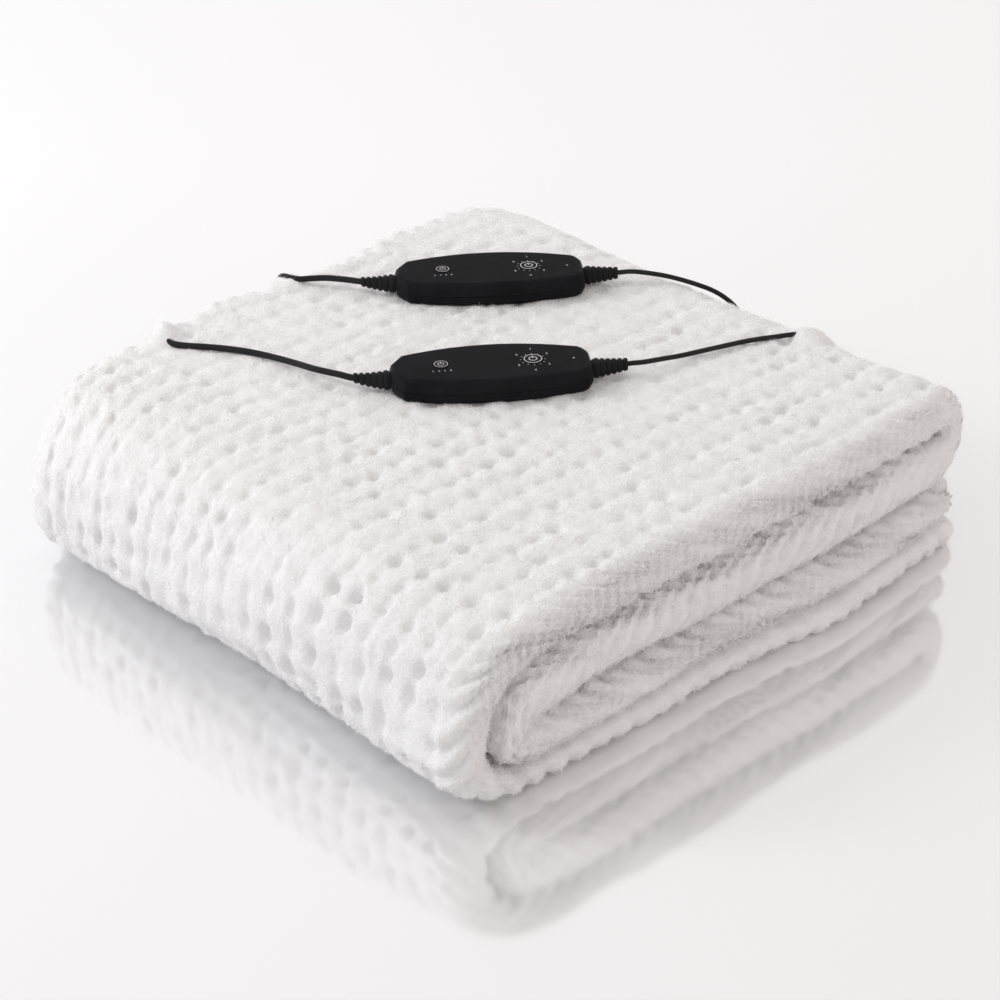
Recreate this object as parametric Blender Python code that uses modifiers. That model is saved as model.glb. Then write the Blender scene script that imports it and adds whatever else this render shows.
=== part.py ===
"""Electric heated blanket, folded into a square pile, with its two corded hand controllers on top.

Metres, +Z up, the pile stands on z = 0 with the middle of its footprint at the origin.
The cloth is one long sheet. It is first folded across its width in three, with one edge tucked
inside, which makes a strip, and the strip is then folded in half and in half again.
The big rounded fold is at -X, and the small folds of the strip are at -Y.
Heights along the pile are those of an evenly folded stack until settle() lays it as it lies.
"""

import math

import bmesh
import bpy
from mathutils import Vector

# ---- cloth ----
CLOTH = 0.0076  # thickness of the sheet with its pile
LAYER_GAP = 0.0018  # between the three layers of the strip
BAND_GAP = 0.0036  # between the four bands of the pile
HEM_SHARE = 0.62  # thickness left at a hem, as a share of the cloth's
LAYER_STEP = CLOTH + LAYER_GAP
BAND = 3 * CLOTH + 2 * LAYER_GAP
BAND_STEP = BAND + BAND_GAP
EVEN_HEIGHT = 4 * BAND + 3 * BAND_GAP
PILE_HEIGHT = 0.1205

# ---- pile, seen from above ----
BIG_FOLD_X = -0.1800  # axis of the fold that wraps round the others
INNER_FOLD_X = -0.1765
BACK_FOLD_X = 0.2105  # axis of the fold between the two upper bands
THIRD_BAND_END_X = 0.2290
LOWEST_BAND_END_X = 0.2305
FRONT_EDGE_Y = -0.2220  # the strip's rounded edge
BACK_EDGE_Y = 0.2360
TUCKED_HEM_Y = -0.2040  # the hem that lies inside the front edge
FREE_HEM_Y = 0.2300
SIDE = 0.2400  # half of the footprint, before it settles

# ---- how the pile lies ----
PRESSED = 0.0125  # how far the middle of the stack is pressed down
PRESSED_REACH = 0.0970
BACK_CORNER_ROUND = 0.24  # how far each rounded corner draws in, as a share of the half side
LEFT_CORNER_ROUND = 0.12
LEFT_CORNER_ROUND_ABOVE = 0.10  # more of it at the top of the pile
FRONT_CORNER_ROUND = 0.05
LOW_CORNER = (-0.235, -0.220)  # where the top of the pile is lowest, how far around, and by what share
LOW_CORNER_REACH = 0.075
LOW_CORNER_DROP = 0.085
TOP_WAVE = 0.010  # unevenness of the heights, as a share of them
TOP_WAVE_X = (14.0, 0.8)  # its radians for each metre, and at zero
TOP_WAVE_Y = (11.0, 0.6)
BACK_OUT = 0.0010  # how far the back end stands out, and how much farther for each metre along x
BACK_SKEW = 0.022
BACK_BULGES = [(-0.100, 0.035, -0.0050), (-0.033, 0.026, 0.0070), (0.195, 0.030, 0.0035)]  # x, reach, how far
LOW_FRONT_OUT = 0.0055  # how far the lowest band stands out at the front, and a bulge of it
LOW_FRONT_BULGE = (0.105, 0.060, 0.0085)
SIDE_WAVES = [(0.0020, 12.0, 5.0), (0.0016, 21.0, 9.0)]  # how far, radians for each metre along y and by height
SIDE_OUT_AT_FRONT = 0.0085  # how far the side at +X leans out at its front end and in at its back end
SIDE_IN_AT_BACK = 0.0070
MID = Vector((0.0045, 0.0037))  # centre of the settled footprint before it is put at the origin

# ---- controllers, along x from the mains end to the end of the blanket's lead ----
BODY_HALF_LENGTH = 0.0685
SHOULDER_X = 0.0608  # where the bowed long edges turn to the ends
ROUND_SHOULDER_X = 0.0570  # the same at the lead's end, which is rounded
HALF_WIDTH_MIDDLE = 0.0295
HALF_WIDTH_SHOULDER = 0.0210
HALF_WIDTH_END = 0.0092
AXIS_Z = 0.0086  # of the parting and of both strain reliefs
HEIGHT_MIDDLE = 0.0182
HEIGHT_END = 0.0169
CLEARANCE = 0.0003  # between pieces that touch
CONTROLLERS = {
    # name: middle of the underside, then its turn about x, y and z in degrees
    "rear": ((0.1080, 0.1119, 0.1208), (0.0, -0.36, -39.4)),
    "front": ((0.0042, 0.0031, 0.1215), (0.0, -0.45, -37.9)),
}
UPPER_ROUNDING = ((0.0, 0.0), (0.0003, 0.45), (0.0013, 0.78), (0.0030, 0.95), (0.0055, 1.0))
LOWER_ROUNDING = ((0.0, 0.0), (0.0005, 0.45), (0.0018, 0.80), (0.0040, 1.0))

# ---- push buttons ----
HEAT_BUTTON_X = 0.0282
HEAT_BUTTON_RADIUS = 0.0066
TIMER_BUTTON_X = -0.0342
TIMER_BUTTON_RADIUS = 0.0050
BUTTON_HEIGHT = 0.0024
BUTTON_PROUD = 0.0006
BUTTON_ROUND = 0.0005
WELL_DEPTH = 0.0036

# ---- strain reliefs ----
RELIEF_ROOT = 0.0073
RELIEF_NECK = 0.0056  # radius of the stretch held in the body
RELIEF_SEAT = 0.0040  # length of that stretch
RELIEF_LENGTH = 0.0245  # length outside the body
RELIEF_RIBS = 6
RIB_SHARE = 0.62
RELIEF_GROOVE = 0.0008
RELIEF_BORE = 0.0030  # depth of the hole that takes the cord
CORD_HELD = 0.0020  # length of the cord in that hole
RELIEF_STEPS = 10
RELIEFS = {
    # name: radius of the tip, then how far the cord bends the tip back and up
    "rear_mains": (0.0034, 0.0030, 0.0010),
    "rear_lead": (0.0043, 0.0012, 0.0004),
    "front_mains": (0.0034, 0.0038, 0.0012),
    "front_lead": (0.0043, 0.0020, 0.0006),
}

# ---- cords, x y z in metres; each starts in its controller's strain relief ----
MAINS_RADIUS = 0.00225
LEAD_RADIUS = 0.00175
POINT_EVERY = 2.6  # spacing of a tube's points, in diameters
MAINS_ROUTES = {
    "rear": [
        (0.0325, 0.1820, 0.1302), (0.0288, 0.1895, 0.1297), (0.0250, 0.1980, 0.1287),
        (0.0198, 0.2075, 0.1268), (0.0150, 0.2150, 0.1252), (0.0122, 0.2222, 0.1248),
        (0.0124, 0.2294, 0.1236), (0.0148, 0.2364, 0.1194), (0.0182, 0.2416, 0.1113),
        (0.0208, 0.2444, 0.0995), (0.0220, 0.2466, 0.0850), (0.0222, 0.2478, 0.0690),
        (0.0216, 0.2485, 0.0520), (0.0206, 0.2494, 0.0350), (0.0218, 0.2514, 0.0195),
        (0.0270, 0.2554, 0.0085), (0.0360, 0.2602, 0.0036), (0.0480, 0.2638, 0.0026),
        (0.0620, 0.2653, 0.0026), (0.0780, 0.2655, 0.0026), (0.0984, 0.2655, 0.0026),
    ],
    "front": [
        (-0.0712, 0.0725, 0.1312), (-0.0738, 0.0830, 0.1304), (-0.0756, 0.0960, 0.1289),
        (-0.0768, 0.1125, 0.1272), (-0.0794, 0.1310, 0.1256), (-0.0845, 0.1494, 0.1247),
        (-0.0925, 0.1655, 0.1244), (-0.1018, 0.1785, 0.1245), (-0.1100, 0.1890, 0.1245),
        (-0.1142, 0.1965, 0.1244), (-0.1148, 0.2040, 0.1242), (-0.1122, 0.2114, 0.1240),
        (-0.1074, 0.2186, 0.1239), (-0.1022, 0.2260, 0.1220), (-0.0978, 0.2328, 0.1162),
        (-0.0950, 0.2376, 0.1056), (-0.0938, 0.2402, 0.0915), (-0.0942, 0.2414, 0.0755),
        (-0.0960, 0.2422, 0.0590), (-0.0984, 0.2430, 0.0430), (-0.1004, 0.2444, 0.0285),
        (-0.1000, 0.2470, 0.0160), (-0.0955, 0.2514, 0.0074), (-0.0870, 0.2572, 0.0034),
        (-0.0765, 0.2625, 0.0026), (-0.0616, 0.2655, 0.0026),
    ],
}
LEAD_ROUTES = {
    "rear": [
        (0.1895, 0.0470, 0.1307), (0.1990, 0.0382, 0.1291), (0.2073, 0.0292, 0.1271),
        (0.2138, 0.0190, 0.1251), (0.2186, 0.0085, 0.1233), (0.2232, -0.0008, 0.1208),
        (0.2285, -0.0085, 0.1158), (0.2345, -0.0142, 0.1078), (0.2383, -0.0182, 0.0972),
        (0.2400, -0.0212, 0.0845), (0.2408, -0.0238, 0.0700), (0.2413, -0.0263, 0.0545),
        (0.2420, -0.0292, 0.0400), (0.2438, -0.0330, 0.0265), (0.2478, -0.0385, 0.0150),
        (0.2550, -0.0450, 0.0068), (0.2655, -0.0515, 0.0027), (0.2785, -0.0550, 0.0021),
        (0.2920, -0.0530, 0.0021), (0.3030, -0.0440, 0.0021), (0.3085, -0.0310, 0.0021),
        (0.3085, -0.0150, 0.0021), (0.3035, 0.0000, 0.0021), (0.2945, 0.0120, 0.0022),
        (0.2830, 0.0185, 0.0026), (0.2700, 0.0200, 0.0036),
    ],
    "front": [
        (0.0890, -0.0574, 0.1310), (0.1049, -0.0612, 0.1293), (0.1212, -0.0642, 0.1272),
        (0.1391, -0.0668, 0.1253), (0.1557, -0.0704, 0.1242), (0.1715, -0.0750, 0.1237),
        (0.1848, -0.0805, 0.1236), (0.1955, -0.0860, 0.1234), (0.2052, -0.0910, 0.1234),
        (0.2146, -0.0954, 0.1222), (0.2237, -0.0990, 0.1184), (0.2316, -0.1020, 0.1114),
        (0.2372, -0.1044, 0.1016), (0.2401, -0.1064, 0.0896), (0.2410, -0.1082, 0.0757),
        (0.2412, -0.1100, 0.0610), (0.2417, -0.1124, 0.0465), (0.2432, -0.1157, 0.0320),
        (0.2467, -0.1208, 0.0185), (0.2535, -0.1275, 0.0085), (0.2635, -0.1338, 0.0032),
        (0.2765, -0.1370, 0.0021), (0.2890, -0.1345, 0.0021), (0.2980, -0.1260, 0.0021),
        (0.3005, -0.1140, 0.0022), (0.2950, -0.1025, 0.0023), (0.2840, -0.0955, 0.0028),
        (0.2700, -0.0930, 0.0036),
    ],
}

# ---- coils of the mains leads, on the floor behind the pile ----
COIL_RADIUS = 0.0250
COIL_HALF = 0.00675
COIL_STEPS = 28
COIL_MIDDLES = {"rear": (0.1150, 0.2950), "front": (-0.0450, 0.2950)}
TAIL_ROUTE = [
    # from the coil to its plug, measured from the coil's middle
    (0.0295, 0.0166, 0.0068), (0.0300, 0.0235, 0.0068), (0.0335, 0.0305, 0.0068),
    (0.0395, 0.0355, 0.0068), (0.0465, 0.0376, 0.0068), (0.0560, 0.0380, 0.0068),
]

# ---- mains plugs ----
PLUG_MIDDLE = Vector((0.0955, 0.0380, 0.0069))  # from the coil's middle
PLUG_HALF_LENGTH = 0.0175
PLUG_HALF_WIDTH = 0.0180
PLUG_HALF_NECK = 0.0075
PLUG_HALF_HEIGHT = 0.0069
PLUG_ROUND = 0.0018
PLUG_RELIEF_ROOT = 0.0052  # radii of the sleeve moulded on its back
PLUG_RELIEF_TIP = 0.0034
PIN_RADIUS = 0.0020
PIN_LENGTH = 0.0190
PIN_HALF_SPACING = 0.0095
PIN_SEAT = 0.0030

# ---- connectors between the leads and the blanket, on the floor against its hem ----
CONNECTOR_SIZE = Vector((0.0300, 0.0200, 0.0080))
CONNECTOR_PLACES = {"rear": (0.2291, 0.0200), "front": (0.2254, -0.0930)}
CONNECTOR_BORE = 0.0040
CONNECTOR_ROUND = 0.0015


def clear_scene():
    for old in list(bpy.data.objects):
        bpy.data.objects.remove(old, do_unlink=True)


def new_collection(name):
    made = bpy.data.collections.new(name)
    bpy.context.scene.collection.children.link(made)
    return made


def new_material(name, colour, roughness, metallic=0.0):
    made = bpy.data.materials.new(name)
    made.use_nodes = True
    shader = made.node_tree.nodes["Principled BSDF"]
    shader.inputs["Base Color"].default_value = (*colour, 1.0)
    shader.inputs["Roughness"].default_value = roughness
    shader.inputs["Metallic"].default_value = metallic
    return made


clear_scene()
PARTS = new_collection("folded_heated_blanket")
CUTTERS = new_collection("cutters")
FLEECE = new_material("fleece", (0.87, 0.86, 0.85), 0.95)
CASE = new_material("case_plastic", (0.013, 0.013, 0.014), 0.32)
BUTTON = new_material("button_plastic", (0.018, 0.018, 0.020), 0.40)
SLEEVE = new_material("soft_sleeve", (0.014, 0.014, 0.015), 0.55)
SHEATH = new_material("cord_sheath", (0.015, 0.015, 0.016), 0.50)
PLUG_PLASTIC = new_material("plug_plastic", (0.016, 0.016, 0.017), 0.42)
PIN_METAL = new_material("pin_metal", (0.80, 0.72, 0.52), 0.25, 1.0)


# ---------------------------------------------------------------- shared helpers


def add_object(name, data, material=None, collection=PARTS):
    made = bpy.data.objects.new(name, data)
    collection.objects.link(made)
    if material:
        data.materials.append(material)
    return made


def mesh_of(build):
    """A mesh from a bmesh, with its faces turned outwards."""
    bmesh.ops.recalc_face_normals(build, faces=build.faces)
    mesh = bpy.data.meshes.new("shape")
    build.to_mesh(mesh)
    build.free()
    return mesh


def shade_round(obj, angle=35.0):
    obj.data.shade_smooth()
    obj.data.set_sharp_from_angle(angle=math.radians(angle))


def applied(obj):
    """The object's evaluated mesh put in its place, with no modifier left."""
    graph = bpy.context.evaluated_depsgraph_get()
    mesh = bpy.data.meshes.new_from_object(obj.evaluated_get(graph))
    obj.modifiers.clear()
    obj.data = mesh
    return obj


def run(start, end, steps):
    """Points with normals along a straight run of a fold line, without its first point."""
    start, end = Vector(start), Vector(end)
    along = (end - start).normalized()
    normal = Vector((-along.y, along.x))
    return [(start.lerp(end, i / steps), normal) for i in range(1, steps + 1)]


def turn(centre, radius, start_deg, sweep_deg, steps):
    """Points with normals round a turn of a fold line, without its first point."""
    centre = Vector(centre)
    side = -math.copysign(1.0, sweep_deg)
    points = []
    for i in range(1, steps + 1):
        angle = math.radians(start_deg + sweep_deg * i / steps)
        out = Vector((math.cos(angle), math.sin(angle)))
        points.append((centre + radius * out, side * out))
    return points


def bump(x, y, centre, reach):
    """1 at the centre, fading to 0 over the reach."""
    far = ((x - centre[0]) / reach) ** 2 + ((y - centre[1]) / reach) ** 2
    return math.exp(-far)


def bulge(x, middle, reach, out):
    """How far something stands out at x, when it does so by the given distance at its middle."""
    return out * bump(x, 0.0, (middle, 0.0), reach)


def turned(name, profile, steps, material):
    """A body of revolution about its own z, from (radius, z) points that run down its outer side."""
    mesh = bpy.data.meshes.new("profile")
    closed = profile[0][0] > 0
    edges = [(i, i + 1) for i in range(len(profile) - 1)]
    if closed:
        edges.append((len(profile) - 1, 0))
    mesh.from_pydata([(radius, 0.0, z) for radius, z in profile], edges, [])
    made = add_object(name, mesh, material)
    screw = made.modifiers.new("turn", "SCREW")
    screw.angle = math.tau
    screw.steps = steps
    screw.render_steps = steps
    screw.use_merge_vertices = True
    screw.merge_threshold = 0.00001
    screw.use_smooth_shade = False
    return made


def cylinder(name, radius, length, segments, material=None, collection=PARTS):
    """A cylinder along its own z, with its middle at its origin."""
    build = bmesh.new()
    bmesh.ops.create_cone(
        build, cap_ends=True, segments=segments, radius1=radius, radius2=radius, depth=length
    )
    return add_object(name, mesh_of(build), material, collection)


def combine(body, tool, operation):
    tool.hide_render = True
    tool.display_type = "WIRE"
    step = body.modifiers.new(tool.name, "BOOLEAN")
    step.operation = operation
    step.solver = "EXACT"
    step.object = tool


def cut(body, name, radius, length, segments, location, rotation=(0.0, 0.0, 0.0)):
    """Takes a round hole out of a body; the place is in the space of the body's parent."""
    tool = cylinder(name, radius, length, segments, collection=CUTTERS)
    tool.parent = body.parent
    tool.location = location
    tool.rotation_euler = rotation
    combine(body, tool, "DIFFERENCE")


def smooth_points(route, spacing):
    """Evenly spaced points on a smooth curve through a route's points, between its straight end stretches."""
    route = [Vector(p) for p in route]
    padded = [2 * route[0] - route[1]] + route + [2 * route[-1] - route[-2]]
    fine = [route[0]]
    for before, start, end, after in zip(padded, padded[1:], padded[2:], padded[3:]):
        for i in range(1, 13):
            t = i / 12
            bend = (2 * before - 5 * start + 4 * end - after) * t**2
            twist = (3 * start - before - 3 * end + after) * t**3
            fine.append(start + 0.5 * ((end - before) * t + bend + twist))
    fine = fine[12:-12]
    lengths = [0.0]
    for start, end in zip(fine, fine[1:]):
        lengths.append(lengths[-1] + (end - start).length)
    count = max(2, round(lengths[-1] / spacing))
    points, k = route[:1], 0
    for i in range(count + 1):
        reach = lengths[-1] * i / count
        while k < len(fine) - 2 and lengths[k + 1] < reach:
            k += 1
        share = (reach - lengths[k]) / (lengths[k + 1] - lengths[k])
        points.append(fine[k].lerp(fine[k + 1], share))
    return points + route[-1:]


def tube(name, route, radius, material):
    points = smooth_points(route, POINT_EVERY * 2 * radius)
    curve = bpy.data.curves.new(name, "CURVE")
    curve.dimensions = "3D"
    curve.bevel_depth = radius
    curve.bevel_resolution = 2
    curve.use_fill_caps = True
    line = curve.splines.new("POLY")
    line.points.add(len(points) - 1)
    for spot, point in zip(line.points, points):
        spot.co = (*point, 1.0)
    return add_object(name, curve, material)


def add_relief(name, root, tip, cord, bend):
    """A ribbed, tapered strain relief along its own z from the body's end face, bent in its own x and y."""
    bore = cord + CLEARANCE
    pitch = (RELIEF_LENGTH - CLEARANCE) / RELIEF_RIBS
    floor = RELIEF_LENGTH - RELIEF_BORE
    profile = [(0.0, floor), (bore, floor), (bore, RELIEF_LENGTH)]
    for i in range(RELIEF_RIBS):
        rib_start = RELIEF_LENGTH - i * pitch
        rib_end = rib_start - RIB_SHARE * pitch
        for z in (rib_start, rib_end):
            profile.append((root + (tip - root) * z / RELIEF_LENGTH, z))
        for z in (rib_end, rib_start - pitch):
            profile.append((root + (tip - root) * z / RELIEF_LENGTH - RELIEF_GROOVE, z))
    neck = min(RELIEF_NECK, root - 2 * RELIEF_GROOVE)
    profile += [(neck, CLEARANCE), (neck, -RELIEF_SEAT), (0.0, -RELIEF_SEAT)]
    relief = applied(turned(name, profile, RELIEF_STEPS, SLEEVE))
    for vertex in relief.data.vertices:
        share = max(0.0, vertex.co.z / RELIEF_LENGTH) ** 2
        vertex.co += share * Vector((bend[0], bend[1], 0.0))
    return relief


# ---------------------------------------------------------------- blanket


def width_fold():
    """The sheet's fold in three across its width, in the (y, offset from the strip's middle) plane."""
    front = FRONT_EDGE_Y + LAYER_STEP + CLOTH / 2
    back = BACK_EDGE_Y - LAYER_STEP / 2 - CLOTH / 2
    first = Vector((TUCKED_HEM_Y, 0.0))
    line = [(first, Vector((0.0, 1.0)))]
    line += run(first, (back, 0.0), 6)
    line += turn((back, LAYER_STEP / 2), LAYER_STEP / 2, -90, 180, 5)
    line += run((back, LAYER_STEP), (front, LAYER_STEP), 7)
    line += turn((front, 0.0), LAYER_STEP, 90, 180, 7)
    line += run((front, -LAYER_STEP), (FREE_HEM_Y, -LAYER_STEP), 6)
    return [point for point, _ in line]


def strip_fold():
    """The strip's fold in quarters, in the (x, z) plane, from the end of the lowest band."""
    lowest, third, second, top = (BAND / 2 + BAND_STEP * i for i in range(4))
    first = Vector((LOWEST_BAND_END_X, lowest))
    line = [(first, Vector((0.0, -1.0)))]
    line += run(first, (BIG_FOLD_X, lowest), 6)
    line += turn((BIG_FOLD_X, (lowest + top) / 2), (top - lowest) / 2, -90, -180, 10)
    line += run((BIG_FOLD_X, top), (BACK_FOLD_X, top), 7)
    line += turn((BACK_FOLD_X, (top + second) / 2), (top - second) / 2, 90, -180, 7)
    line += run((BACK_FOLD_X, second), (INNER_FOLD_X, second), 6)
    line += turn((INNER_FOLD_X, (second + third) / 2), (second - third) / 2, 90, 180, 7)
    line += run((INNER_FOLD_X, third), (THIRD_BAND_END_X, third), 6)
    return line


def settle(point):
    """Where a point of the evenly folded pile comes to lie."""
    x, y, z = point
    level = z / EVEN_HEIGHT
    height = PILE_HEIGHT / EVEN_HEIGHT * (1 - LOW_CORNER_DROP * bump(x, y, LOW_CORNER, LOW_CORNER_REACH))
    wave_x = math.sin(TOP_WAVE_X[0] * x + TOP_WAVE_X[1])
    height *= 1 + TOP_WAVE * wave_x * math.cos(TOP_WAVE_Y[0] * y + TOP_WAVE_Y[1])
    pressed = PRESSED * math.sin(math.pi * z / PRESSED_REACH) ** 2 if z < PRESSED_REACH else 0.0
    across = x / SIDE
    to_back = max(0.0, y / BACK_EDGE_Y)
    to_front = max(0.0, y / FRONT_EDGE_Y)
    if y < 0:
        inwards = FRONT_CORNER_ROUND * across**8
    elif x > 0:
        inwards = BACK_CORNER_ROUND * across**12
    else:
        inwards = (LEFT_CORNER_ROUND + LEFT_CORNER_ROUND_ABOVE * level**3) * abs(across) ** 5
    # The back end is a little askew and wavy, and the lower bands stand out at the front.
    back_shift = BACK_OUT + BACK_SKEW * x + sum(bulge(x, *b) for b in BACK_BULGES)
    front_shift = (1 - level) * (LOW_FRONT_OUT + bulge(x, *LOW_FRONT_BULGE))
    settled_y = y * (1 - inwards) + to_back**2 * back_shift - to_front**2 * front_shift
    # Each upright side wavers a little along its length.
    waver = sum(far * math.sin(by_y * y + by_level * level) for far, by_y, by_level in SIDE_WAVES)
    drawn_out = SIDE_OUT_AT_FRONT * to_front**2 - SIDE_IN_AT_BACK * to_back**10
    settled_x = x + waver * abs(across) + (across**2 * drawn_out if x > 0 else 0.0)
    return Vector((settled_x - MID.x, settled_y - MID.y, z * height - pressed))


def make_blanket():
    """One sheet with both folds, thickened, then settled."""
    across, along = width_fold(), strip_fold()
    build = bmesh.new()
    rows = []
    for centre, normal in along:
        spots = [centre + normal * offset for _, offset in across]
        rows.append([build.verts.new((s.x, a.x, s.y)) for s, a in zip(spots, across)])
    for row, ahead in zip(rows, rows[1:]):
        for i in range(len(across) - 1):
            build.faces.new((row[i], row[i + 1], ahead[i + 1], ahead[i]))
    build.verts.index_update()
    hems = {v.index for v in build.verts if v.is_boundary}
    sheet = add_object("blanket", mesh_of(build), FLEECE)
    full = sheet.vertex_groups.new(name="full")
    full.add([v.index for v in sheet.data.vertices if v.index not in hems], 1.0, "REPLACE")
    thick = sheet.modifiers.new("thickness", "SOLIDIFY")
    thick.thickness = CLOTH
    thick.offset = 0.0
    thick.use_even_offset = True
    thick.vertex_group = "full"
    thick.thickness_vertex_group = HEM_SHARE
    bpy.context.view_layer.update()
    applied(sheet)
    for vertex in sheet.data.vertices:
        vertex.co = settle(vertex.co)
    shade_round(sheet, 60.0)
    return sheet


# ---------------------------------------------------------------- controllers


def body_side():
    """One long side of the body's outline, from the mains end to the lead's end."""
    bow = HALF_WIDTH_MIDDLE - HALF_WIDTH_SHOULDER
    side = [(-BODY_HALF_LENGTH, HALF_WIDTH_END)]
    for i in range(11):
        x = -SHOULDER_X + (SHOULDER_X + ROUND_SHOULDER_X) * i / 10
        side.append((x, HALF_WIDTH_MIDDLE - bow * (x / SHOULDER_X) ** 2))
    last_x, last_y = side[-1]
    for degrees in (25, 50, 75, 90):
        angle = math.radians(degrees)
        x = last_x + (BODY_HALF_LENGTH - last_x) * math.sin(angle)
        y = HALF_WIDTH_END + (last_y - HALF_WIDTH_END) * math.cos(angle)
        side.append((x, y))
    return side


def drawn_in(side, inset):
    """The same side, moved square to itself towards the body's middle."""
    ring = [Vector(p) for p in side] + [Vector((x, -y)) for x, y in reversed(side)]
    moved = []
    for i in range(len(side)):
        before = (ring[i] - ring[i - 1]).normalized()
        after = (ring[i + 1] - ring[i]).normalized()
        first, second = Vector((before.y, -before.x)), Vector((after.y, -after.x))
        moved.append(ring[i] + inset * (first + second) / (1 + first.dot(second)))
    return moved


def top_height(x):
    return HEIGHT_END + (HEIGHT_MIDDLE - HEIGHT_END) * (1 - (x / BODY_HALF_LENGTH) ** 2)


def half_shell(name, hub, rounding, start_z, end_height):
    """A half of the body: rings of its outline, each drawn in and a share of the way from the parting."""
    build = bmesh.new()
    loops = []
    for inset, share in rounding:
        side = drawn_in(body_side(), inset)
        ring = [(p.x, p.y) for p in side] + [(p.x, -p.y) for p in reversed(side)]
        loops.append([build.verts.new((x, y, start_z + share * (end_height(x) - start_z))) for x, y in ring])
    count = len(loops[0])
    for low, high in zip(loops, loops[1:]):
        for i in range(count):
            j = (i + 1) % count
            build.faces.new((low[i], low[j], high[j], high[i]))
    for loop in (loops[0], loops[-1]):
        for i in range(count // 2 - 1):
            build.faces.new((loop[i], loop[i + 1], loop[-i - 2], loop[-i - 1]))
    shell = add_object(name, mesh_of(build), CASE)
    shell.parent = hub
    return shell


def add_button(name, hub, upper, x, radius):
    """A round push button with its origin on its axis, in a well in the upper shell."""
    top = top_height(x)
    cut(upper, name + "_well", radius + CLEARANCE, 2 * WELL_DEPTH, 24, (x, 0.0, top))
    edge = BUTTON_HEIGHT - BUTTON_ROUND
    profile = [(0.0, BUTTON_HEIGHT), (radius - BUTTON_ROUND, BUTTON_HEIGHT), (radius, edge)]
    profile += [(radius, 0.0), (0.0, 0.0)]
    button = turned(name, profile, 20, BUTTON)
    button.parent = hub
    button.location = (x, 0.0, top + BUTTON_PROUD - BUTTON_HEIGHT)


def add_controller(side):
    """Two shells, two push buttons and a strain relief at each end, on one empty."""
    place, turns = CONTROLLERS[side]
    hub = bpy.data.objects.new(side + "_controller", None)
    PARTS.objects.link(hub)
    hub.location = place
    hub.rotation_euler = [math.radians(t) for t in turns]
    lower = half_shell(side + "_controller_base", hub, LOWER_ROUNDING, AXIS_Z - CLEARANCE / 2, lambda x: 0.0)
    upper = half_shell(side + "_controller_cover", hub, UPPER_ROUNDING, AXIS_Z + CLEARANCE / 2, top_height)
    for end, cord, word in ((-1, MAINS_RADIUS, "mains"), (1, LEAD_RADIUS, "lead")):
        across = (0.0, math.radians(90 * end), 0.0)
        face = (end * BODY_HALF_LENGTH, 0.0, AXIS_Z)
        for half in (lower, upper):
            depth = 2 * (RELIEF_SEAT + CLEARANCE)
            cut(half, f"{half.name}_{word}_seat", RELIEF_NECK + CLEARANCE, depth, 20, face, across)
        tip, back, up = RELIEFS[f"{side}_{word}"]
        relief = add_relief(f"{side}_{word}_relief", RELIEF_ROOT, tip, cord, (-end * up, back))
        relief.parent = hub
        relief.location = face
        relief.rotation_euler = across
    add_button(side + "_heat_button", hub, upper, HEAT_BUTTON_X, HEAT_BUTTON_RADIUS)
    add_button(side + "_timer_button", hub, upper, TIMER_BUTTON_X, TIMER_BUTTON_RADIUS)
    return hub


def exit_points(side, hub, word, end):
    """The cord's first two points: in the strain relief's hole and just outside it."""
    bpy.context.view_layer.update()
    _, back, up = RELIEFS[f"{side}_{word}"]
    points = []
    for reach in (RELIEF_LENGTH - CORD_HELD, RELIEF_LENGTH + RELIEF_BORE):
        share = (reach / RELIEF_LENGTH) ** 2
        local = Vector((end * (BODY_HALF_LENGTH + reach), share * back, AXIS_Z + share * up))
        points.append(hub.matrix_world @ local)
    return points


# ---------------------------------------------------------------- leads


def add_mains_lead(side, hub):
    """The stretch from the controller to the coil, the coil, and the stretch to the plug."""
    route = exit_points(side, hub, "mains", -1) + MAINS_ROUTES[side]
    tube(side + "_mains_lead", route, MAINS_RADIUS, SHEATH)
    flat = COIL_HALF - MAINS_RADIUS / 2
    near, far = COIL_RADIUS - COIL_HALF, COIL_RADIUS + COIL_HALF
    profile = [(COIL_RADIUS - flat, 2 * COIL_HALF), (COIL_RADIUS + flat, 2 * COIL_HALF)]
    profile += [(far, COIL_HALF + flat), (far, COIL_HALF - flat)]
    profile += [(COIL_RADIUS + flat, 0.0), (COIL_RADIUS - flat, 0.0)]
    profile += [(near, COIL_HALF - flat), (near, COIL_HALF + flat)]
    coil = turned(side + "_mains_coil", profile, COIL_STEPS, SHEATH)
    middle = Vector((*COIL_MIDDLES[side], 0.0))
    coil.location = middle
    tube(side + "_plug_lead", [middle + Vector(p) for p in TAIL_ROUTE], MAINS_RADIUS, SHEATH)
    return middle


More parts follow.
